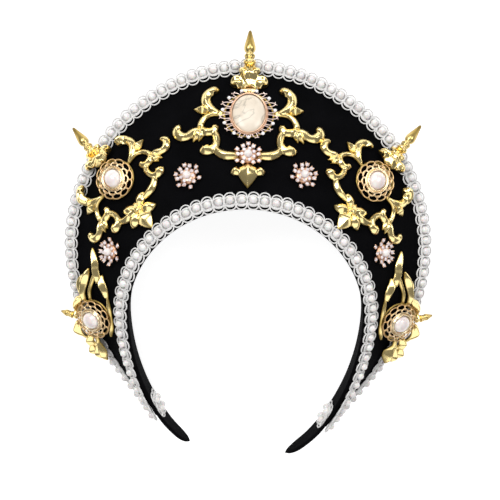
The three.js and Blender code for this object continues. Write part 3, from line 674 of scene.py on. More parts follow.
VELVET = velvet("black_velvet", (0.0012, 0.0012, 0.0015), 0.012)
BAND_CLOTH = velvet("band_cloth", (0.0016, 0.0016, 0.0019), 0.02)
# these metals are painted darker where their stored attribute is low, as painted shade in recesses and lower
# parts
GILT = metal("pale_gilt", (0.1, 0.062, 0.014), (0.54, 0.38, 0.11), (0.95, 0.76, 0.35), 0.2)
ROSE_GILT = metal("rose_gilt", (0.3, 0.14, 0.05), (0.84, 0.57, 0.28), (1.0, 0.84, 0.58), 0.22)
ROSE_SILVER = metal("rose_silver", (0.3, 0.13, 0.09), (0.66, 0.46, 0.4), (0.95, 0.82, 0.77))
BRAID_PEARL = pearl("braid_pearl", (0.72, 0.69, 0.68), (0.86, 0.84, 0.82))
WHITE_PEARL = pearl("white_pearl", (0.78, 0.68, 0.66), (0.9, 0.84, 0.81), 0.9, 0.16)
THREAD = thread("white_thread", (0.58, 0.57, 0.56), (0.82, 0.81, 0.8))
CREAM_STONE = veined_stone("cream_stone")
CRYSTAL = crystal("clear_crystal", (0.66, 0.63, 0.65), (0.95, 0.93, 0.95))
BLUSH_CRYSTAL = crystal("blush_crystal", (0.62, 0.5, 0.51), (0.96, 0.9, 0.9))
COPPER = metal("copper_painted_shade", (0.24, 0.07, 0.03), (0.58, 0.27, 0.14), (0.88, 0.6, 0.42), 0.3)


# velvet crescent: one closed skin round the section, and the shares of the way round that its front,
# rounded rim, back and inner wall take
FRONT_SHARE = 0.45
RIM_SHARE = 0.15
BACK_SHARE = 0.28
INNER_SHARE = 0.12
# the share of the inner wall that climbs from the back, before it slopes over to the front's edge
WALL_SHARE = 0.7
FOOT_INSET = 1.2
FOOT_DROP = 0.35
END_LENGTH = 2.0
END_FULLNESS = 0.9


def crescent_panel():
    back_from = FRONT_SHARE + RIM_SHARE
    inner_from = back_from + BACK_SHARE

    def place(u, v):
        s = -LEFT_LENGTH + u * (LEFT_LENGTH + RIGHT_LENGTH)
        width = width_at(s) - PANEL_ROUNDING * smooth(share_of(s), END_ROUNDING_FROM, 1)
        foot = np.tan(lean_at(s))
        half = PANEL_THICKNESS / 2
        low, drop_in = PANEL_THICKNESS * foot, FOOT_DROP * foot
        t_front = FOOT_INSET + (width - half - FOOT_INSET) * v / FRONT_SHARE
        turn = np.clip((v - FRONT_SHARE) / RIM_SHARE, 0, 1) * math.pi
        t_round = width - half + half * np.sin(turn)
        h_round = -half + half * np.cos(turn)
        back = np.clip((v - back_from) / BACK_SHARE, 0, 1)
        t_back = width - half + (low - width + half) * back
        rise = np.clip((v - inner_from) / INNER_SHARE, 0, 1)
        turned_in = (rise - WALL_SHARE) / (1 - WALL_SHARE)
        t_inner = np.where(rise > WALL_SHARE, drop_in + (FOOT_INSET - drop_in) * turned_in,
                           low + (drop_in - low) * np.minimum(rise / WALL_SHARE, 1))
        h_inner = np.where(rise > WALL_SHARE, -FOOT_DROP * (1 - turned_in),
                           -PANEL_THICKNESS + (PANEL_THICKNESS - FOOT_DROP) * rise / WALL_SHARE)
        parts = [v <= FRONT_SHARE, v <= back_from, v <= inner_from]
        t = np.select(parts, [t_front, t_round, t_back], t_inner)
        h = np.select(parts, [0 * v, h_round, 0 * v - PANEL_THICKNESS], h_inner)
        near_end = np.minimum((1 - share_of(s)) * arm_length(s) / END_LENGTH, 1)
        middle = (low + width) / 2
        shrink = np.sqrt(np.maximum(1 - (1 - near_end) ** 2, 0))
        t = middle + (t - middle) * (END_FULLNESS + (1 - END_FULLNESS) * shrink)
        h = -half + (h + half) * shrink
        return to_world(on_panel(s, t, h))

    piece = shaped_grid("velvet_crescent", 240, 80, place)
    return finish_piece(piece, VELVET, "crescent_panel")


# the drawn band: the power that squares its section, and how much its tails taper
BAND_SQUARING = 0.22
TAIL_TAPER = 0.22


def headband():
    total = LEFT_TAIL + LEFT_LENGTH + RIGHT_LENGTH + RIGHT_TAIL

    def squared(value):
        return np.sign(value) * np.abs(value) ** BAND_SQUARING

    def place(u, v):
        way = u * total - LEFT_TAIL - LEFT_LENGTH
        inside = np.clip(way, -LEFT_LENGTH, RIGHT_LENGTH)
        x, y, heading, _ = edge_at(inside)
        past = np.abs(way - inside)
        side = np.where(way < 0, -1.0, 1.0)
        turn = heading + side * past / TAIL_RADIUS
        x = x + TAIL_RADIUS * side * (np.sin(np.abs(turn)) - np.sin(np.abs(heading)))
        y = y + TAIL_RADIUS * (np.cos(turn) - np.cos(heading))
        tail = np.where(way < 0, LEFT_TAIL, RIGHT_TAIL)
        tip = np.sqrt(np.maximum(1 - smooth(past / tail, 0.5, 1.0) ** 2, 0))
        tip = tip * (1 - TAIL_TAPER * smooth(past / tail, 0.0, 0.7))
        angle = v * 2 * math.pi
        thick = BAND_THICKNESS / 2 * np.minimum(1, 0.25 + 3 * tip)
        away = -GAP - BAND_THICKNESS / 2 + thick * squared(np.cos(angle))
        z = -BAND_DEPTH / 2 + BAND_DEPTH / 2 * tip * squared(np.sin(angle))
        return to_world(stack(x + away * np.sin(turn), y + away * np.cos(turn), z))

    piece = shaped_grid("covered_band", 300, 40, place)
    return finish_piece(piece, BAND_CLOTH, "headband")


# braids: wires of the lace, the web under the pearls, and how loosely a cell is sewn
LACE_WIRE = 0.44
ROPE_WIRE = 0.5
WEB_WIDTH = 4.4
WEB_THICKNESS = 0.7
LACE_NUDGE = 0.12
LACE_TURN = 0.1
PEARL_NUDGE = 0.28
PEARL_SLACK = 0.1
PEARL_CUT = 1.3
# the cells turned over the band: back from the crescent's end, down from its front, and pitch downwards
WRAP_BACK = 3.2
WRAP_DEPTH = 3.4
WRAP_PITCH = 0.75 * PEARL_PITCH


def inner_route():
    s = np.arange(-LEFT_LENGTH - BRAID_PAST_END, RIGHT_LENGTH + BRAID_PAST_END + 0.5, 1.0)
    return np.stack([s, 0 * s + INNER_BRAID_AT], axis=1)


def outer_route():
    bar = BRAID_WIDTH / 2 - BRAID_PAST_END

    def corner(side):
        end = float(arm_length(side)) - bar - CORNER_RADIUS
        high = float(width_at(side * end)) - OUTER_BRAID_IN - CORNER_RADIUS
        turn = np.linspace(0, math.pi / 2, 9)
        points = np.stack([side * (end + CORNER_RADIUS * np.sin(turn)),
                           high + CORNER_RADIUS * np.cos(turn)], axis=1)
        low = INNER_BRAID_AT + BRAID_WIDTH / 2 + GAP
        return np.vstack([points, [points[-1][0], low]])

    s = np.arange(corner(-1)[0][0] + 1, corner(1)[0][0] - 1, 1.0)
    rim = np.stack([s, width_at(s) - OUTER_BRAID_IN], axis=1)
    return np.vstack([corner(-1)[::-1], rim, corner(1)])


def braid_cells(route):
    places = on_panel(route[:, 0], route[:, 1])
    lengths = np.concatenate([[0], np.cumsum(np.linalg.norm(np.diff(places, axis=0), axis=1))])
    total = lengths[-1]
    count = round(total / PEARL_PITCH)

    def spot(way):
        return np.interp(way, lengths, route[:, 0]), np.interp(way, lengths, route[:, 1])

    matrices = []
    for k in range(count):
        way = total * (k + 0.5) / count
        origin = Vector(on_panel(*spot(way), BRAID_GAP))
        normal = (Vector(on_panel(*spot(way), BRAID_GAP + 1)) - origin).normalized()
        ahead = Vector(on_panel(*spot(min(way + 0.6, total)))) - Vector(on_panel(*spot(max(way - 0.6, 0))))
        across = normal.cross(ahead).normalized()
        ahead = across.cross(normal).normalized()
        basis = Matrix((ahead, across, normal)).transposed().to_4x4()
        matrices.append(REST @ Matrix.Translation(origin) @ basis)
    return matrices, total / count


def lace_cell(pitch):
    """one cell of thread lace: a woven ground, loops on both sides and twists between pearls"""
    half = BRAID_WIDTH / 2
    middle = half - 3.1
    loops = []
    for side in (-1, 1):
        for radius, reach, high in ((pitch / 2 - 0.05, half - 0.25, 0.6), (1.9, half - 2.4, 0.9)):
            turn = np.linspace(-0.2, 1.2, 9) * math.pi
            loops.append([(radius * math.cos(a), side * (middle + (reach - middle) * math.sin(a)),
                           high + 0.2 * math.sin(a)) for a in turn])
    lace = wires("lace_loops", loops, LACE_WIRE, 1)
    ground = []
    for shift in (-1, 1):
        for side in (-1, 1):
            ground.append([(-pitch / 2, side * 2.3, 0.8), (-pitch / 4, side * 2.7, 1.2 + 0.2 * shift),
                           (0, side * 2.5, 0.9), (pitch / 4, side * 2.7, 1.2 - 0.2 * shift),
                           (pitch / 2, side * 2.3, 0.8)])
    twist = [[(pitch / 2 - 0.9 * a, -2.4 + 0.2 * a, 0.9), (pitch / 2 + 0.9 * a, -0.8, 1.9),
              (pitch / 2 - 0.9 * a, 0.8, 1.9), (pitch / 2 + 0.9 * a, 2.4, 0.9)] for a in (-1, 1)]
    rope = wires("lace_ground", ground + twist, ROPE_WIRE, 1)
    deselect()
    bpy.ops.mesh.primitive_cube_add(size=1)
    web = settle("lace_web")
    web.scale = (pitch, WEB_WIDTH, WEB_THICKNESS)
    web.location = (0, 0, 0.4)
    only(web)
    apply_place(scale=True)
    return join("lace_cell", [lace, rope, web])


def pearl_cell():
    deselect()
    bpy.ops.mesh.primitive_uv_sphere_add(segments=16, ring_count=10, radius=PEARL_RADIUS - PEARL_SLACK)
    edit_all()
    bpy.ops.mesh.bisect(plane_co=(0, 0, -PEARL_CUT), plane_no=(0, 0, 1), use_fill=True, clear_inner=True)
    bpy.ops.mesh.select_all(action="SELECT")
    bpy.ops.transform.translate(value=(0, 0, BRAID_THICKNESS + PEARL_HEIGHT - PEARL_RADIUS))
    return clean(settle("pearl_cell"), MERGE_MILLIMETRES)


def wrap_cells():
    """cells of braid turned over the band's inner face just above both ends of the crescent"""
    matrices = []
    for side in (-1, 1):
        for back in (WRAP_BACK, WRAP_BACK + PEARL_PITCH):
            x, y, heading, _ = edge_at(side * (float(arm_length(side)) - back))
            out = Vector((math.sin(heading), math.cos(heading), 0))
            for deep in (-WRAP_DEPTH, -WRAP_DEPTH - WRAP_PITCH):
                origin = Vector((float(x), float(y), deep)) - out * (GAP + BAND_THICKNESS)
                across = Vector((0, 0, 1)).cross(out) * -1
                basis = Matrix((Vector((0, 0, 1)), across, -out)).transposed().to_4x4()
                matrices.append(REST @ Matrix.Translation(origin) @ basis)
    return matrices


def loosened(matrix, shift, angle):
    """a cell's place, nudged by hand sewing"""
    nudge = Vector((random.uniform(-shift, shift), random.uniform(-shift, shift), 0))
    return matrix @ Matrix.Translation(nudge) @ Matrix.Rotation(random.uniform(-angle, angle), 4, "Z")


def braid(name, node, route):
    matrices, pitch = braid_cells(route)
    if name == "inner_braid":
        matrices += wrap_cells()
    lace, bead = lace_cell(pitch), pearl_cell()
    net = repeated(f"{name}_lace", lace, [loosened(matrix, LACE_NUDGE, LACE_TURN) for matrix in matrices])
    pearls = repeated(f"{name}_pearls", bead, [loosened(matrix, PEARL_NUDGE, 0) for matrix in matrices])
    drop(lace, bead)
    finish_piece(net, THREAD, node)
    finish_piece(pearls, BRAID_PEARL)


# castings: strokes of x, y and half width in millimetres from the seat's middle. SCROLL to
# UPPER_BALL and FLOWER_LOBE, FLOWER_WING are a right half that is mirrored; the rest stand once.
SCROLL = ((14.5, 0.8, 1.0), (18.5, 2.2, 1.5), (22.4, 5.0, 2.1), (24.8, 8.8, 2.4), (24.8, 12.8, 2.4),
          (22.4, 15.6, 2.3), (19.6, 15.6, 2.9), (18.6, 14.4, 2.6))
STEM = ((13.5, 0.4, 1.0), (21.0, 0.9, 1.2), (25.2, -1.0, 1.5), (27.4, -4.4, 1.6), (27.8, -7.8, 1.7))
HOOK = ((27.8, -7.4, 1.4), (24.8, -10.2, 2.2), (21.4, -10.4, 2.1), (19.4, -8.4, 1.9), (20.6, -6.2, 1.9))
OUTER_CURL = ((27.8, -8.2, 1.4), (31.6, -9.8, 2.1), (35.4, -12.4, 2.2), (39.0, -12.2, 2.5), (41.6, -9.4, 2.4),
              (41.0, -6.8, 2.2), (38.8, -6.2, 2.5))
LEAVES = (((23.0, 3.2, 0.9), (26.3, 4.2, 2.7), (28.6, 4.4, 2.1), (32.4, 4.9, 0.3)),
          ((28.0, -8.0, 1.2), (29.6, -11.8, 2.0), (32.2, -16.6, 0.3)),
          ((27.2, -8.6, 1.0), (27.4, -12.4, 1.6), (28.8, -16.4, 0.3)))
C_CURVE = ((20.8, -9.8, 1.6), (18.6, -13.2, 1.8), (18.2, -17.2, 1.8), (19.6, -20.6, 2.1), (22.2, -22.2, 2.6),
           (25.0, -21.4, 3.0), (25.8, -19.6, 2.5))
LOWER_STEM = ((19.2, -20.6, 1.6), (16.6, -24.0, 2.1), (12.6, -26.0, 2.4), (8.4, -26.3, 2.2),
              (3.0, -26.2, 1.4))
BOTTOM_BALL = ((3.4, -36.2, 1.8), (6.0, -36.4, 2.2), (8.0, -35.6, 2.9), (8.6, -34.8, 2.7))
TOP_BALL = ((2.5, 20.0, 2.6), (5.6, 20.4, 2.8), (8.4, 19.6, 3.3), (9.4, 18.2, 3.0))
UPPER_BALL = ((1.0, 25.4, 1.6), (3.8, 26.8, 1.9), (6.2, 26.6, 2.1))
TOP_BAR = ((-5.4, 27.4, 0.8), (-3.0, 23.0, 1.1), (-0.6, 18.6, 1.1), (1.6, 14.8, 0.9))
FLOWER_NECK = ((0, -22.0, 1.2), (0, -26.0, 2.6), (0, -30.0, 3.0), (0, -34.0, 1.6))
FLOWER_DOME = ((0, -27.6, 1.8), (0, -30.4, 2.5), (0, -33.0, 1.8))
FLOWER_LOBE = ((1.2, -27.6, 1.5), (4.4, -25.0, 2.8), (7.6, -22.8, 2.3), (10.2, -21.6, 0.6))
FLOWER_WING = ((1.2, -30.4, 1.5), (5.0, -32.4, 3.0), (8.8, -34.2, 2.6), (12.0, -35.2, 0.5))
BOTTOM_LEAF = ((0, -31.0, 2.2), (0, -35.0, 4.2), (0, -38.5, 4.4), (0, -42.5, 2.8), (0, -46.8, 0.3))
TOP_LEAF = ((0, 14.0, 3.0), (0, 17.5, 4.4), (0, 21.0, 5.6), (0, 24.5, 4.0), (0, 28.0, 3.3), (0, 31.5, 2.3),
            (0, 33.4, 1.9))
# the low castings, x along the rim towards the hood's top and y out across it
LOW_STEMS = (((11.3, 2.9, 0.9), (18.0, 3.8, 1.1), (23.0, 2.9, 1.3), (28.5, 0.4, 1.1)),
             ((17.6, -8.8, 0.8), (14.3, -10.1, 0.9), (8.4, -11.4, 1.4), (2.1, -12.4, 0.8), (-3.8, -12.2, 1.4),
              (-10.5, -11.4, 0.5)),
             ((-11.3, 0, 1.0), (-17.2, -0.8, 1.4), (-21.0, 3.8, 1.0)))
LOW_LEAVES = (((21.4, -1.7, 0.9), (25.6, -1.7, 1.9), (29.8, 0, 2.2), (34.0, 0.8, 2.2), (38.6, 3.4, 1.6),
               (42.4, 5.0, 0.4)),
              ((9.2, 6.3, 0.8), (15.0, 8.6, 1.8), (20.8, 9.2, 2.5), (25.6, 7.8, 2.0), (29.6, 6.4, 0.5)),
              ((28.1, -5.0, 0.5), (23.3, -5.9, 2.3), (19.0, -8.6, 2.0), (14.3, -10.1, 1.1)),
              ((2.5, 11.8, 1.4), (8.4, 11.8, 2.5), (13.0, 8.4, 0.9)),
              ((-3.4, 11.8, 1.4), (-10.9, 13.4, 2.6), (-17.6, 9.2, 1.0)),
              ((-10.9, 2.9, 1.1), (-16.8, 5.0, 2.5), (-22.3, 5.5, 1.2)),
              ((-19.3, 5.0, 1.0), (-25.2, 5.9, 2.4), (-30.2, 5.0, 0.5)),
              ((-18.0, -0.4, 0.9), (-25.2, 0.4, 2.2), (-30.7, -0.8, 0.5)),
              ((-16.0, -1.3, 0.9), (-23.9, -5.0, 2.0), (-29.0, -7.1, 0.4)))
LOW_NECK = ((0, 11.8, 2.4), (0, 14.4, 2.6), (0, 16.8, 1.7))
# melting the strokes into one skin thins them, so they are drawn wider by this share
STROKE_SPREAD = 1.26
LEAST_HALF_WIDTH = 0.15
# a stroke's height: its base, and what each millimetre of half width adds
STROKE_BASE = 0.45
STROKE_RISE = 1.15
SEAT_WIRE = 0.65
SEAT_WIRE_IN = 1.2
CROWN_WIRE_IN = 3.2
CASTING_VOXEL = 0.3


def route_of(points, count):
    """a smooth route through points, column by column"""
    points = np.array(points, float)
    ends = np.vstack([2 * points[0] - points[1], points, 2 * points[-1] - points[-2]])
    u = np.linspace(0, len(points) - 1, count)
    k = np.minimum(u.astype(int), len(points) - 2)
    f = (u - k)[:, None]
    a, b, c, d = (ends[k + step] for step in range(4))
    return 0.5 * (2 * b + (c - a) * f + (2 * a - 5 * b + 4 * c - d) * f**2 + (3 * b - 3 * c + d - a) * f**3)


def stroke(points, side=1, ridge=False, lift=1.0):
    route = route_of(points, 8 * len(points))
    route[:, 2] = np.maximum(STROKE_SPREAD * route[:, 2], LEAST_HALF_WIDTH)
    steps = np.linalg.norm(np.diff(route[:, :2], axis=0), axis=1)
    way = np.concatenate([[0], np.cumsum(steps)])
    first, last = route[0, 2], route[-1, 2]

    def round_end(away, size):
        return np.where(away < size, np.sqrt(np.clip(1 - (1 - away / size) ** 2, 0, 1)), 1)

    def place(u, v):
        at = u * way[-1]
        x, y, half = (np.interp(at, way, route[:, axis]) for axis in range(3))
        ahead = np.minimum(at + 0.2, way[-1])
        ahead_x = np.interp(ahead, way, route[:, 0]) - np.interp(at - 0.2, way, route[:, 0])
        ahead_y = np.interp(ahead, way, route[:, 1]) - np.interp(at - 0.2, way, route[:, 1])
        size = np.hypot(ahead_x, ahead_y)
        half = half * round_end(at, first) * round_end(way[-1] - at, last)
        high = (STROKE_BASE + STROKE_RISE * half) * lift
        angle = v * 2 * math.pi
        wide = np.cos(angle)
        above = np.maximum(np.sin(angle), 0)
        roof = 1 - np.abs(wide)
        rise = roof**0.8 * (above > 0) if ridge else 0.5 * above + 0.5 * roof * (above > 0)
        z = high * (0.3 + 0.7 * rise + 0.3 * np.minimum(np.sin(angle), 0))
        return stack(side * (x - ahead_y / size * half * wide), y + ahead_x / size * half * wide, z) * MM

    return shaped_grid("stroke", 7 * len(points), 24, place)


def fused_casting(name, parts, seat):
    """strokes and the seat's ring fused into one skin and softened as a casting is"""
    deselect()
    bpy.ops.mesh.primitive_torus_add(major_radius=seat * MM, minor_radius=SEAT_WIRE * MM, major_segments=72,
                                     minor_segments=10, location=(0, 0, 0.7 * MM))
    ring = settle("seat_ring")
    apply_place()
    casting = join(name, [*parts, ring])
    apply_modifier(casting, "REMESH", mode="VOXEL", voxel_size=CASTING_VOXEL * MM)
    apply_modifier(casting, "SMOOTH", factor=0.5, iterations=7)
    apply_modifier(casting, "DECIMATE", ratio=0.5)
    return casting


def turned(piece, angle):
    piece.data.transform(Matrix.Rotation(angle, 4, "Z"))
    return piece


def flat_casting(name, ornament):
    """a top or upper casting in the flat, its side scrolls swung round the seat"""
    _, along, up, scale, turn, swing, rise, _ = ornament
    spot = spot_of(along, up, turn, rise)
    flowered = along != 0
    parts = []
    for side in (-1, 1):
        scrolls = [stroke(points, side) for points in (SCROLL, STEM, HOOK, OUTER_CURL, C_CURVE, LOWER_STEM)]
        scrolls += [stroke(points, side, ridge=True, lift=1.15) for points in LEAVES]
        parts += [turned(piece, math.radians(swing)) for piece in scrolls]
        parts += [stroke(points, side, lift=1.1) for points in (TOP_BALL, UPPER_BALL)]
        if flowered:
            parts += [stroke(points, side) for points in (FLOWER_LOBE, FLOWER_WING)]
        else:
            parts.append(stroke(BOTTOM_BALL, side, lift=1.1))
    if flowered:
        parts += [stroke(FLOWER_NECK, lift=0.8), stroke(FLOWER_DOME, lift=1.5)]
    low, high = TOP_LEAF[0][1], TOP_LEAF[-1][1]
    shrink = (finial_start(spot) / scale - low) / (high - low)
    top_leaf = [(x, low + (y - low) * shrink, half) for x, y, half in TOP_LEAF]
    parts.append(stroke(top_leaf, ridge=True, lift=0.62))
    parts.append(stroke(TOP_BAR, lift=2.3))
    parts.append(stroke(BOTTOM_LEAF, ridge=True, lift=0.8))
    seat = (FRAME_RADIUS - SEAT_WIRE_IN) / scale if flowered else CROWN_HALF_WIDTH - CROWN_WIRE_IN
    return fused_casting(name, parts, seat)


def low_casting(name, side):
    """a low casting in the flat, mirrored for the right side"""
    parts = [stroke(points) for points in LOW_STEMS]
    parts += [stroke(points, ridge=True, lift=1.25) for points in LOW_LEAVES]
    parts.append(stroke(LOW_NECK, ridge=True, lift=0.8))
    casting = fused_casting(name, parts, FRAME_RADIUS - SEAT_WIRE_IN)
    if side > 0:
        casting.data.transform(Matrix.Scale(-1, 4, Vector((1, 0, 0))))
        casting.data.flip_normals()
    return casting


def lay_casting(flat, ornament):
    """lays a flat casting on the crescent, kept low under its seat and, at the top, under the starburst"""
    name, along, up, scale, turn, _, rise, _ = ornament
    spot = spot_of(along, up, turn, rise)
    points = vertices_of(flat) / MM
    height = points[:, 2].copy()
    points[:, :2] *= scale
    seat = seat_radius(spot)
    near = np.hypot(points[:, 0], points[:, 1])
    top = SEAT_THICKNESS + (CASTING_HEIGHT + 2) * smooth(near, seat - 0.8, seat + 0.6)
    points[:, 2] = np.minimum(points[:, 2], top)
    if spot["crown"]:
        star = spot_of(STARS[0][1], STARS[0][2])
        near = np.hypot(points[:, 0], points[:, 1] - (star["t"] - spot["t"]))
        room = smooth(near, STAR_RADIUS - 3.6, STAR_RADIUS - 1.5)
        points[:, 2] = np.minimum(points[:, 2], SEAT_THICKNESS + 4 * room)
    piece = copy_of(flat, f"gilt_casting_{name}")
    set_vertices(piece, to_world(ornament_points(spot, points)))
    # painted shade: the low edges of each stroke and the recesses between strokes get the dark colour, the
    # tops the light one
    store(piece, "shade_crest", smooth(height, 0.3, 2.7))
    return finish_piece(rounded(piece), GILT, f"scroll_casting_{name}")


def castings():
    for ornament in ORNAMENTS:
        low = abs(ornament[1]) > 0.5
        flat = low_casting("casting_low", ornament[1]) if low else flat_casting("casting_flat", ornament)
        lay_casting(flat, ornament)
        drop(flat)


# finials: share of the length, share of the radius
FINIAL_OUTLINE = ((-0.19, 0.4), (-0.18, 0.78), (-0.15, 1.0), (-0.1, 1.0), (-0.07, 0.78), (-0.05, 0.52),
                  (0.0, 0.5), (0.012, 0.72), (0.03, 0.8), (0.045, 0.66), (0.055, 0.7), (0.075, 0.86),
                  (0.1, 0.9), (0.125, 0.84), (0.145, 0.62), (0.155, 0.5), (0.165, 0.6), (0.175, 0.62),
                  (0.19, 0.52), (0.215, 0.62), (0.26, 0.82), (0.32, 0.93), (0.38, 0.95), (0.45, 0.9),
                  (0.56, 0.77), (0.7, 0.58), (0.84, 0.4), (0.93, 0.3), (0.975, 0.2), (0.995, 0.06))
FINIAL_FULLNESS = 1.16
# millimetres that each drawn finial's length adds to its share, in the order of the ornaments
FINIAL_TRIMS = (1.2, 3.0, 3.0, -1.5, -1.5)


def finials():
    for (name, along, up, _, turn, _, rise, share), trim in zip(ORNAMENTS, FINIAL_TRIMS):
        thickness = FINIAL_FULLNESS * FINIAL_RADIUS * share
        length = share * FINIAL_LENGTH + trim
        profile = [(wide * thickness, far * length) for far, wide in FINIAL_OUTLINE]
        piece = lathe(f"gilt_finial_{name}", profile, 28)
        local = vertices_of(piece)
        # the stored value falls from the finial's foot to its tip, so its colour darkens towards the tip
        store(piece, "shade_crest", 0.7 - 0.6 * local[:, 2] / length)
        piece.data.transform(finial_matrix(spot_of(along, up, turn, rise), share))
        finish_piece(piece, GILT, f"finial_{name}")


# brooches, the centre setting and the starbursts
def ring_route(half_x, half_y, z, count=36):
    return [(half_x * math.cos(2 * math.pi * k / count), half_y * math.sin(2 * math.pi * k / count), z)
            for k in range(count)]


def oval_dome(name, half_x, half_y, height, low=0.12):
    """a sphere pressed to an oval dome with its underside cut flat"""
    deselect()
    bpy.ops.mesh.primitive_uv_sphere_add(segments=48, ring_count=32, radius=1)
    edit_all()
    bpy.ops.mesh.bisect(plane_co=(0, 0, -low), plane_no=(0, 0, 1), use_fill=True, clear_inner=True)
    bpy.ops.mesh.select_all(action="SELECT")
    bpy.ops.transform.resize(value=(half_x, half_y, height / (1 + low)), center_override=(0, 0, 0))
    bpy.ops.transform.translate(value=(0, 0, height * low / (1 + low)))
    return clean(settle(name), MERGE_MILLIMETRES)


def looped(half, tip):
    """a wire loop's out, turn and height: up one side, over the tip and down the other"""
    return ([(out, -turn, z) for out, turn, z in half] + [tip]
            + [(out, turn, z) for out, turn, z in half[::-1]])


LOBES = 12
FRAME_SQUEEZE = 0.95
LOOP_REACH = FRAME_RADIUS - 0.35
LOW_RING = 9.2
BALL_RING = 11.2
BALL_RADIUS = 0.55
OUTER_LOOP = looped(((LOW_RING, 0.7, 1.5), (10.6, 1.2, 1.1), (LOOP_REACH - 0.2, 0.95, 0.8)),
                    (LOOP_REACH + 0.35, 0, 0.8))
INNER_LOOP = looped(((7.2, 0.7, 2.3), (8.4, 1.1, 2.2), (9.8, 0.7, 1.9)), (10.1, 0, 1.8))
# the cup's radius as a share of the bezel's, and its height
CUP_OUTLINE = ((0.55, 1.2), (0.86, 1.3), (1.0, 2.0), (1.05, 3.4), (1.12, 3.5), (1.16, 3.2), (1.2, 2.4),
               (1.34, 2.3), (1.38, 1.9), (1.3, 1.5), (0.9, 0.8))


def brooch_frame():
    """pierced frame: an oval cup, ring wires, and an outer and an inner row of wire loops with balls"""
    spread = math.pi / LOBES

    def row(loop, shift):
        loops = []
        for k in range(LOBES):
            middle = 2 * math.pi * k / LOBES + shift
            loops.append([(out * math.cos(middle + spread * turn) * FRAME_SQUEEZE,
                           out * math.sin(middle + spread * turn), z) for out, turn, z in loop])
        return loops

    outer = wires("outer_loops", row(OUTER_LOOP, 0), 0.42)
    inner = wires("inner_loops", row(INNER_LOOP, spread), 0.38)
    rings = wires("rings", [ring_route(BEZEL_HALF_WIDTH + wider, BEZEL_HALF_HEIGHT + wider, z)
                            for wider, z in ((0.55, 3.5), (1.75, 2.5))], 0.42, closed=True)
    low_ring = wires("low_ring", [ring_route(LOW_RING * FRAME_SQUEEZE, LOW_RING, 1.4)], 0.3, closed=True)
    cup = lathe("cup", CUP_OUTLINE, 48)
    only(cup)
    edit_all()
    bpy.ops.transform.resize(value=(BEZEL_HALF_WIDTH, BEZEL_HALF_HEIGHT, 1), center_override=(0, 0, 0))
    bpy.ops.object.mode_set(mode="OBJECT")
    balls = []
    for k in range(LOBES):
        angle = 2 * math.pi * (k + 0.5) / LOBES
        place = (BALL_RING * FRAME_SQUEEZE * math.cos(angle), BALL_RING * math.sin(angle), 1.1)
        deselect()
        bpy.ops.mesh.primitive_ico_sphere_add(subdivisions=2, radius=BALL_RADIUS, location=place)
        apply_place()
        balls.append(settle("ball"))
    piece = join("filigree", [outer, inner, rings, low_ring, cup, *balls])
    # painted shade: the filigree's lower wires and cup get the dark colour, its higher parts the light one
    height = vertices_of(piece)[:, 2]
    store(piece, "shade_crest", np.clip((height - 0.4) / 3.0, 0, 1) * 0.8 + 0.1)
    return rounded(piece)


def brooches():
    frame_model = brooch_frame()
    pearl_model = oval_dome("pearl_model", BEZEL_HALF_WIDTH - 0.15, BEZEL_HALF_HEIGHT - 0.15, 4.6)
    base = SEAT_THICKNESS + FRAME_GAP
    lift = base + FRAME_DOME * (FRAME_RADIUS - BEZEL_HALF_HEIGHT) - GAP
    for name, along, up, _, turn, _, rise, _ in ORNAMENTS[1:]:
        spot = spot_of(along, up, turn, rise)
        filigree = copy_of(frame_model, f"filigree_{name}")
        filigree.data.transform(seat_matrix(spot, base))
        finish_piece(filigree, ROSE_GILT, f"brooch_frame_{name}")
        dome = copy_of(pearl_model, f"pearl_{name}")
        dome.data.transform(seat_matrix(spot, lift))
        finish_piece(dome, WHITE_PEARL, f"brooch_pearl_{name}")
    drop(frame_model, pearl_model)


def faceted_stone(radius, place):
    """a small cut stone: a ten-sided girdle, a table and a narrow foot"""
    outline = [(0.3 * radius, -0.5 * radius), (0.98 * radius, 0.0), (radius, 0.12 * radius),
               (0.62 * radius, 0.5 * radius)]
    piece = lathe("small_stone", outline, 10)
    piece.data.transform(Matrix.Translation(place))
    only(piece)
    bpy.ops.object.shade_flat()
    return piece


CROWN_RAYS = 22
RAY_WIRE = 0.3
LONG_RAY = 0.96
SHORT_RAY = 0.8
CROWN_STONE_RADIUS = 1.1
BEZEL_WIRE = 0.32
# the bezel's rings: wider and higher than the stone by this, and height
BEZEL_RINGS = ((0.3, 0.3, 2.0), (0.95, 0.95, 1.4), (1.3, 1.1, 0.7))


def crown_parts():
    """a zigzag of looped rays, every other one short with a stone, the rest with a forked claw"""
    step = math.pi / CROWN_RAYS
    foot_x, foot_y = STONE_HALF_WIDTH + 1.0, STONE_HALF_HEIGHT + 0.8
    rays, stones = [], []
    for k in range(CROWN_RAYS):
        angle = 2 * math.pi * (k + 0.5) / CROWN_RAYS
        far = LONG_RAY if k % 2 else SHORT_RAY

        def at(share, turn, z):
            mix_x = foot_x + (CROWN_HALF_WIDTH - STONE_HALF_WIDTH - 1.0) * share
            mix_y = foot_y + (CROWN_HALF_HEIGHT - STONE_HALF_HEIGHT - 0.8) * share
            around = angle + step * turn
            return (mix_x * math.cos(around), mix_y * math.sin(around), z)

        loop = looped(((-0.05, 0.75, 1.2), (0.4, 0.7, 0.9), (far * 0.8, 0.5, 0.8)), (far, 0, 0.7))
        rays.append([at(*point) for point in loop])
        if k % 2 == 0:
            stones.append(faceted_stone(CROWN_STONE_RADIUS, Vector(at(0.7, 0, 1.3))))
        else:
            for side in (-1, 1):
                rays.append([at(far - 0.1, 0, 0.7), at(far + 0.02, side * 0.35, 0.8),
                             at(far + 0.06, side * 0.5, 0.9)])
    return wires("wire_crown", rays, RAY_WIRE), join("crown_stones", stones)


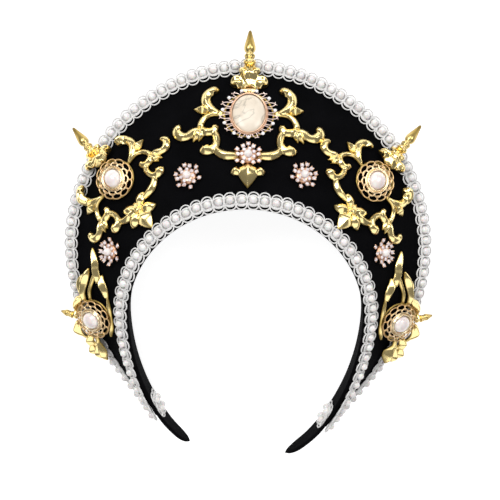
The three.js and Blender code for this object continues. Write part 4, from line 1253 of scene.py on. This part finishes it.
def stone_setting():
    """ringed bezel, a crown of wire rays with small stones, and the cream stone"""
    spot = spot_of(0, ORNAMENTS[0][2])
    matrix = seat_matrix(spot, SEAT_THICKNESS + FRAME_GAP)
    crown, gems = crown_parts()
    bezel = wires("bezel", [ring_route(STONE_HALF_WIDTH + wider, STONE_HALF_HEIGHT + higher, z, 48)
                            for wider, higher, z in BEZEL_RINGS], BEZEL_WIRE, closed=True)
    # painted shade: the lower bezel rings are painted darker
    store(bezel, "shade_crest", np.clip(0.2 + 0.3 * vertices_of(bezel)[:, 2], 0, 1))
    bezel.data.transform(matrix)
    finish_piece(bezel, COPPER)
    local = vertices_of(crown)
    away = np.hypot(local[:, 0] / CROWN_HALF_WIDTH, local[:, 1] / CROWN_HALF_HEIGHT)
    # painted shade: the crown's wires are painted darker lower down and nearer the stone
    store(crown, "shade_crest", np.clip(0.25 + 0.3 * local[:, 2] + 0.3 * (away - 0.7), 0, 1))
    crown.data.transform(matrix)
    finish_piece(rounded(crown), ROSE_SILVER, "stone_setting")
    gems.data.transform(matrix)
    finish_piece(gems, CRYSTAL)
    dome = oval_dome("cream_cabochon", STONE_HALF_WIDTH, STONE_HALF_HEIGHT, 4.4, 0.2)
    dome.data.transform(matrix)
    finish_piece(dome, CREAM_STONE, "centre_stone")


STAR_RAYS = 12
STAR_STONES = 7
STAR_WIRE = 0.33
STAR_STONE_RING = 3.6
TIP_STONE_RADIUS = 1.2
RING_STONE_RADIUS = 1.1
STAR_BASE_OUTLINE = ((2.2, 0.1), (5.0, 0.35), (5.2, 0.9), (4.6, 1.9), (3.4, 2.4), (1.6, 2.6))


def starburst_models():
    """a small cluster: a pearl, a ring of cut stones and two rows of rays with stones at the tips"""
    rays, stones = [], []
    for k in range(STAR_RAYS):
        angle = 2 * math.pi * k / STAR_RAYS
        far, high = (STAR_RADIUS - 1.3, 1.2) if k % 2 else (STAR_RADIUS - 2.6, 2.3)

        def at(radius, z, spread=0.0):
            return (radius * math.cos(angle + spread), radius * math.sin(angle + spread), z)

        rays.append([at(1.4, 0.7), at(far * 0.6, 0.7 + high * 0.2), at(far, high)])
        for spread in (-0.15, 0.15):
            rays.append([at(far - 0.8, high - 0.2, spread), at(far + 0.3, high + 0.5, spread),
                         at(far + 1.2, high + 0.9, spread * 0.7)])
        stones.append(faceted_stone(TIP_STONE_RADIUS, Vector(at(far, high + 0.35))))
    for k in range(STAR_STONES):
        angle = 2 * math.pi * (k + 0.5) / STAR_STONES
        place = Vector((STAR_STONE_RING * math.cos(angle), STAR_STONE_RING * math.sin(angle), 2.9))
        stones.append(faceted_stone(RING_STONE_RADIUS, place))
    star = wires("star_rays", rays, STAR_WIRE, 1)
    metal_part = join("star_metal", [star, lathe("star_base", STAR_BASE_OUTLINE, 12)])
    # painted shade: the star's base and rays are painted darker lower down
    store(metal_part, "shade_crest", np.clip(0.1 + 0.25 * vertices_of(metal_part)[:, 2], 0, 1))
    rounded(metal_part)
    bead = oval_dome("star_pearl", 2.4, 2.4, 3.6, 0.5)
    bead.data.transform(Matrix.Translation((0, 0, 2.0)))
    return metal_part, join("star_stones", stones), bead


def starbursts():
    metal_part, stones, bead = starburst_models()
    for name, along, up in STARS:
        spot = spot_of(along, up)
        matrix = seat_matrix(spot, SEAT_THICKNESS + FRAME_GAP if along == 0 else 0.5 * GAP)
        star = copy_of(metal_part, f"star_{name}")
        star.data.transform(matrix)
        finish_piece(star, COPPER, f"starburst_{name}")
        gems = copy_of(stones, f"star_stones_{name}")
        gems.data.transform(matrix)
        finish_piece(gems, BLUSH_CRYSTAL)
        dome = copy_of(bead, f"star_pearl_{name}")
        dome.data.transform(matrix)
        finish_piece(dome, WHITE_PEARL)
    drop(metal_part, stones, bead)


def view_camera():
    """the photograph's camera, worked back from its pixels to the hood's own axes"""
    bead_t, bead_h = INNER_BRAID_AT, 3.0
    lean = math.radians(45)
    pivot = Vector((0, INNER_RADIUS + bead_t * math.cos(lean) + bead_h * math.sin(lean),
                    bead_h * math.cos(lean) - bead_t * math.sin(lean)))
    ca, sa = math.cos(VIEW_TILT), math.sin(VIEW_TILT)
    cr, sr = math.cos(VIEW_ROLL), math.sin(VIEW_ROLL)

    def back(x, y, z):
        x, z = x * cr - z * sr, z * cr + x * sr
        return Vector((x, z * ca - y * sa, -z * sa - y * ca))

    origin = back(-(ARCH_X - PICTURE / 2) * MM_PER_PIXEL, -VIEW_DISTANCE,
                  -(PICTURE / 2 - ARCH_Y) * MM_PER_PIXEL)
    turn = REST.to_3x3().normalized()
    ahead, up = turn @ back(0, 1, 0), turn @ back(0, 0, 1)
    side = ahead.cross(up)
    bpy.ops.object.camera_add()
    camera = bpy.context.active_object
    basis = Matrix((side, up, -ahead)).transposed().to_4x4()
    camera.matrix_world = Matrix.Translation(REST @ (origin + pivot)) @ basis
    camera.data.angle = 2 * math.atan(PICTURE / 2 * MM_PER_PIXEL / VIEW_DISTANCE)
    camera.data.clip_end = 20
    bpy.context.scene.camera = camera


# name, place in metres, size, watts
LIGHTS = (
    ("key", (-0.9, 0.9, 1.4), 0.8, 16),
    ("right", (1.1, 0.8, 1.2), 0.8, 10),
    ("front", (0.0, -1.0, 1.3), 1.5, 9),
    ("top", (0.0, 1.3, 1.0), 0.9, 8),
)
FLOOR_SIZE = 6
WORLD_STRENGTH = 0.2


def studio():
    """a pale floor, a dim even world and four soft lamps aimed at the middle"""
    deselect()
    bpy.ops.mesh.primitive_plane_add(size=FLOOR_SIZE)
    floor = settle("pale_floor")
    material = new_material("pale_floor", Roughness=0.9, Base_Color=(0.5, 0.5, 0.5, 1),
                            Emission_Color=(1, 1, 1, 1), Emission_Strength=0.8)[0]
    floor.data.materials.append(material)
    world = bpy.data.worlds.new("soft_studio")
    bpy.context.scene.world = world
    world.use_nodes = True
    set_inputs(world.node_tree.nodes["Background"], Color=(1, 1, 1, 1), Strength=WORLD_STRENGTH)
    for name, place, size, power in LIGHTS:
        light = bpy.data.lights.new(name, "AREA")
        light.size = size
        light.energy = power
        lamp = bpy.data.objects.new(name, light)
        bpy.context.collection.objects.link(lamp)
        lamp.location = place
        lamp.rotation_euler = (Vector((0, 0, 0)) - Vector(place)).to_track_quat("-Z", "Y").to_euler()
    bpy.context.scene.view_settings.view_transform = "Standard"


view_camera()
studio()
crescent_panel()
headband()
braid("inner_braid", "inner_pearl_braid", inner_route())
braid("outer_braid", "outer_pearl_braid", outer_route())
castings()
finials()
brooches()
stone_setting()
starbursts()
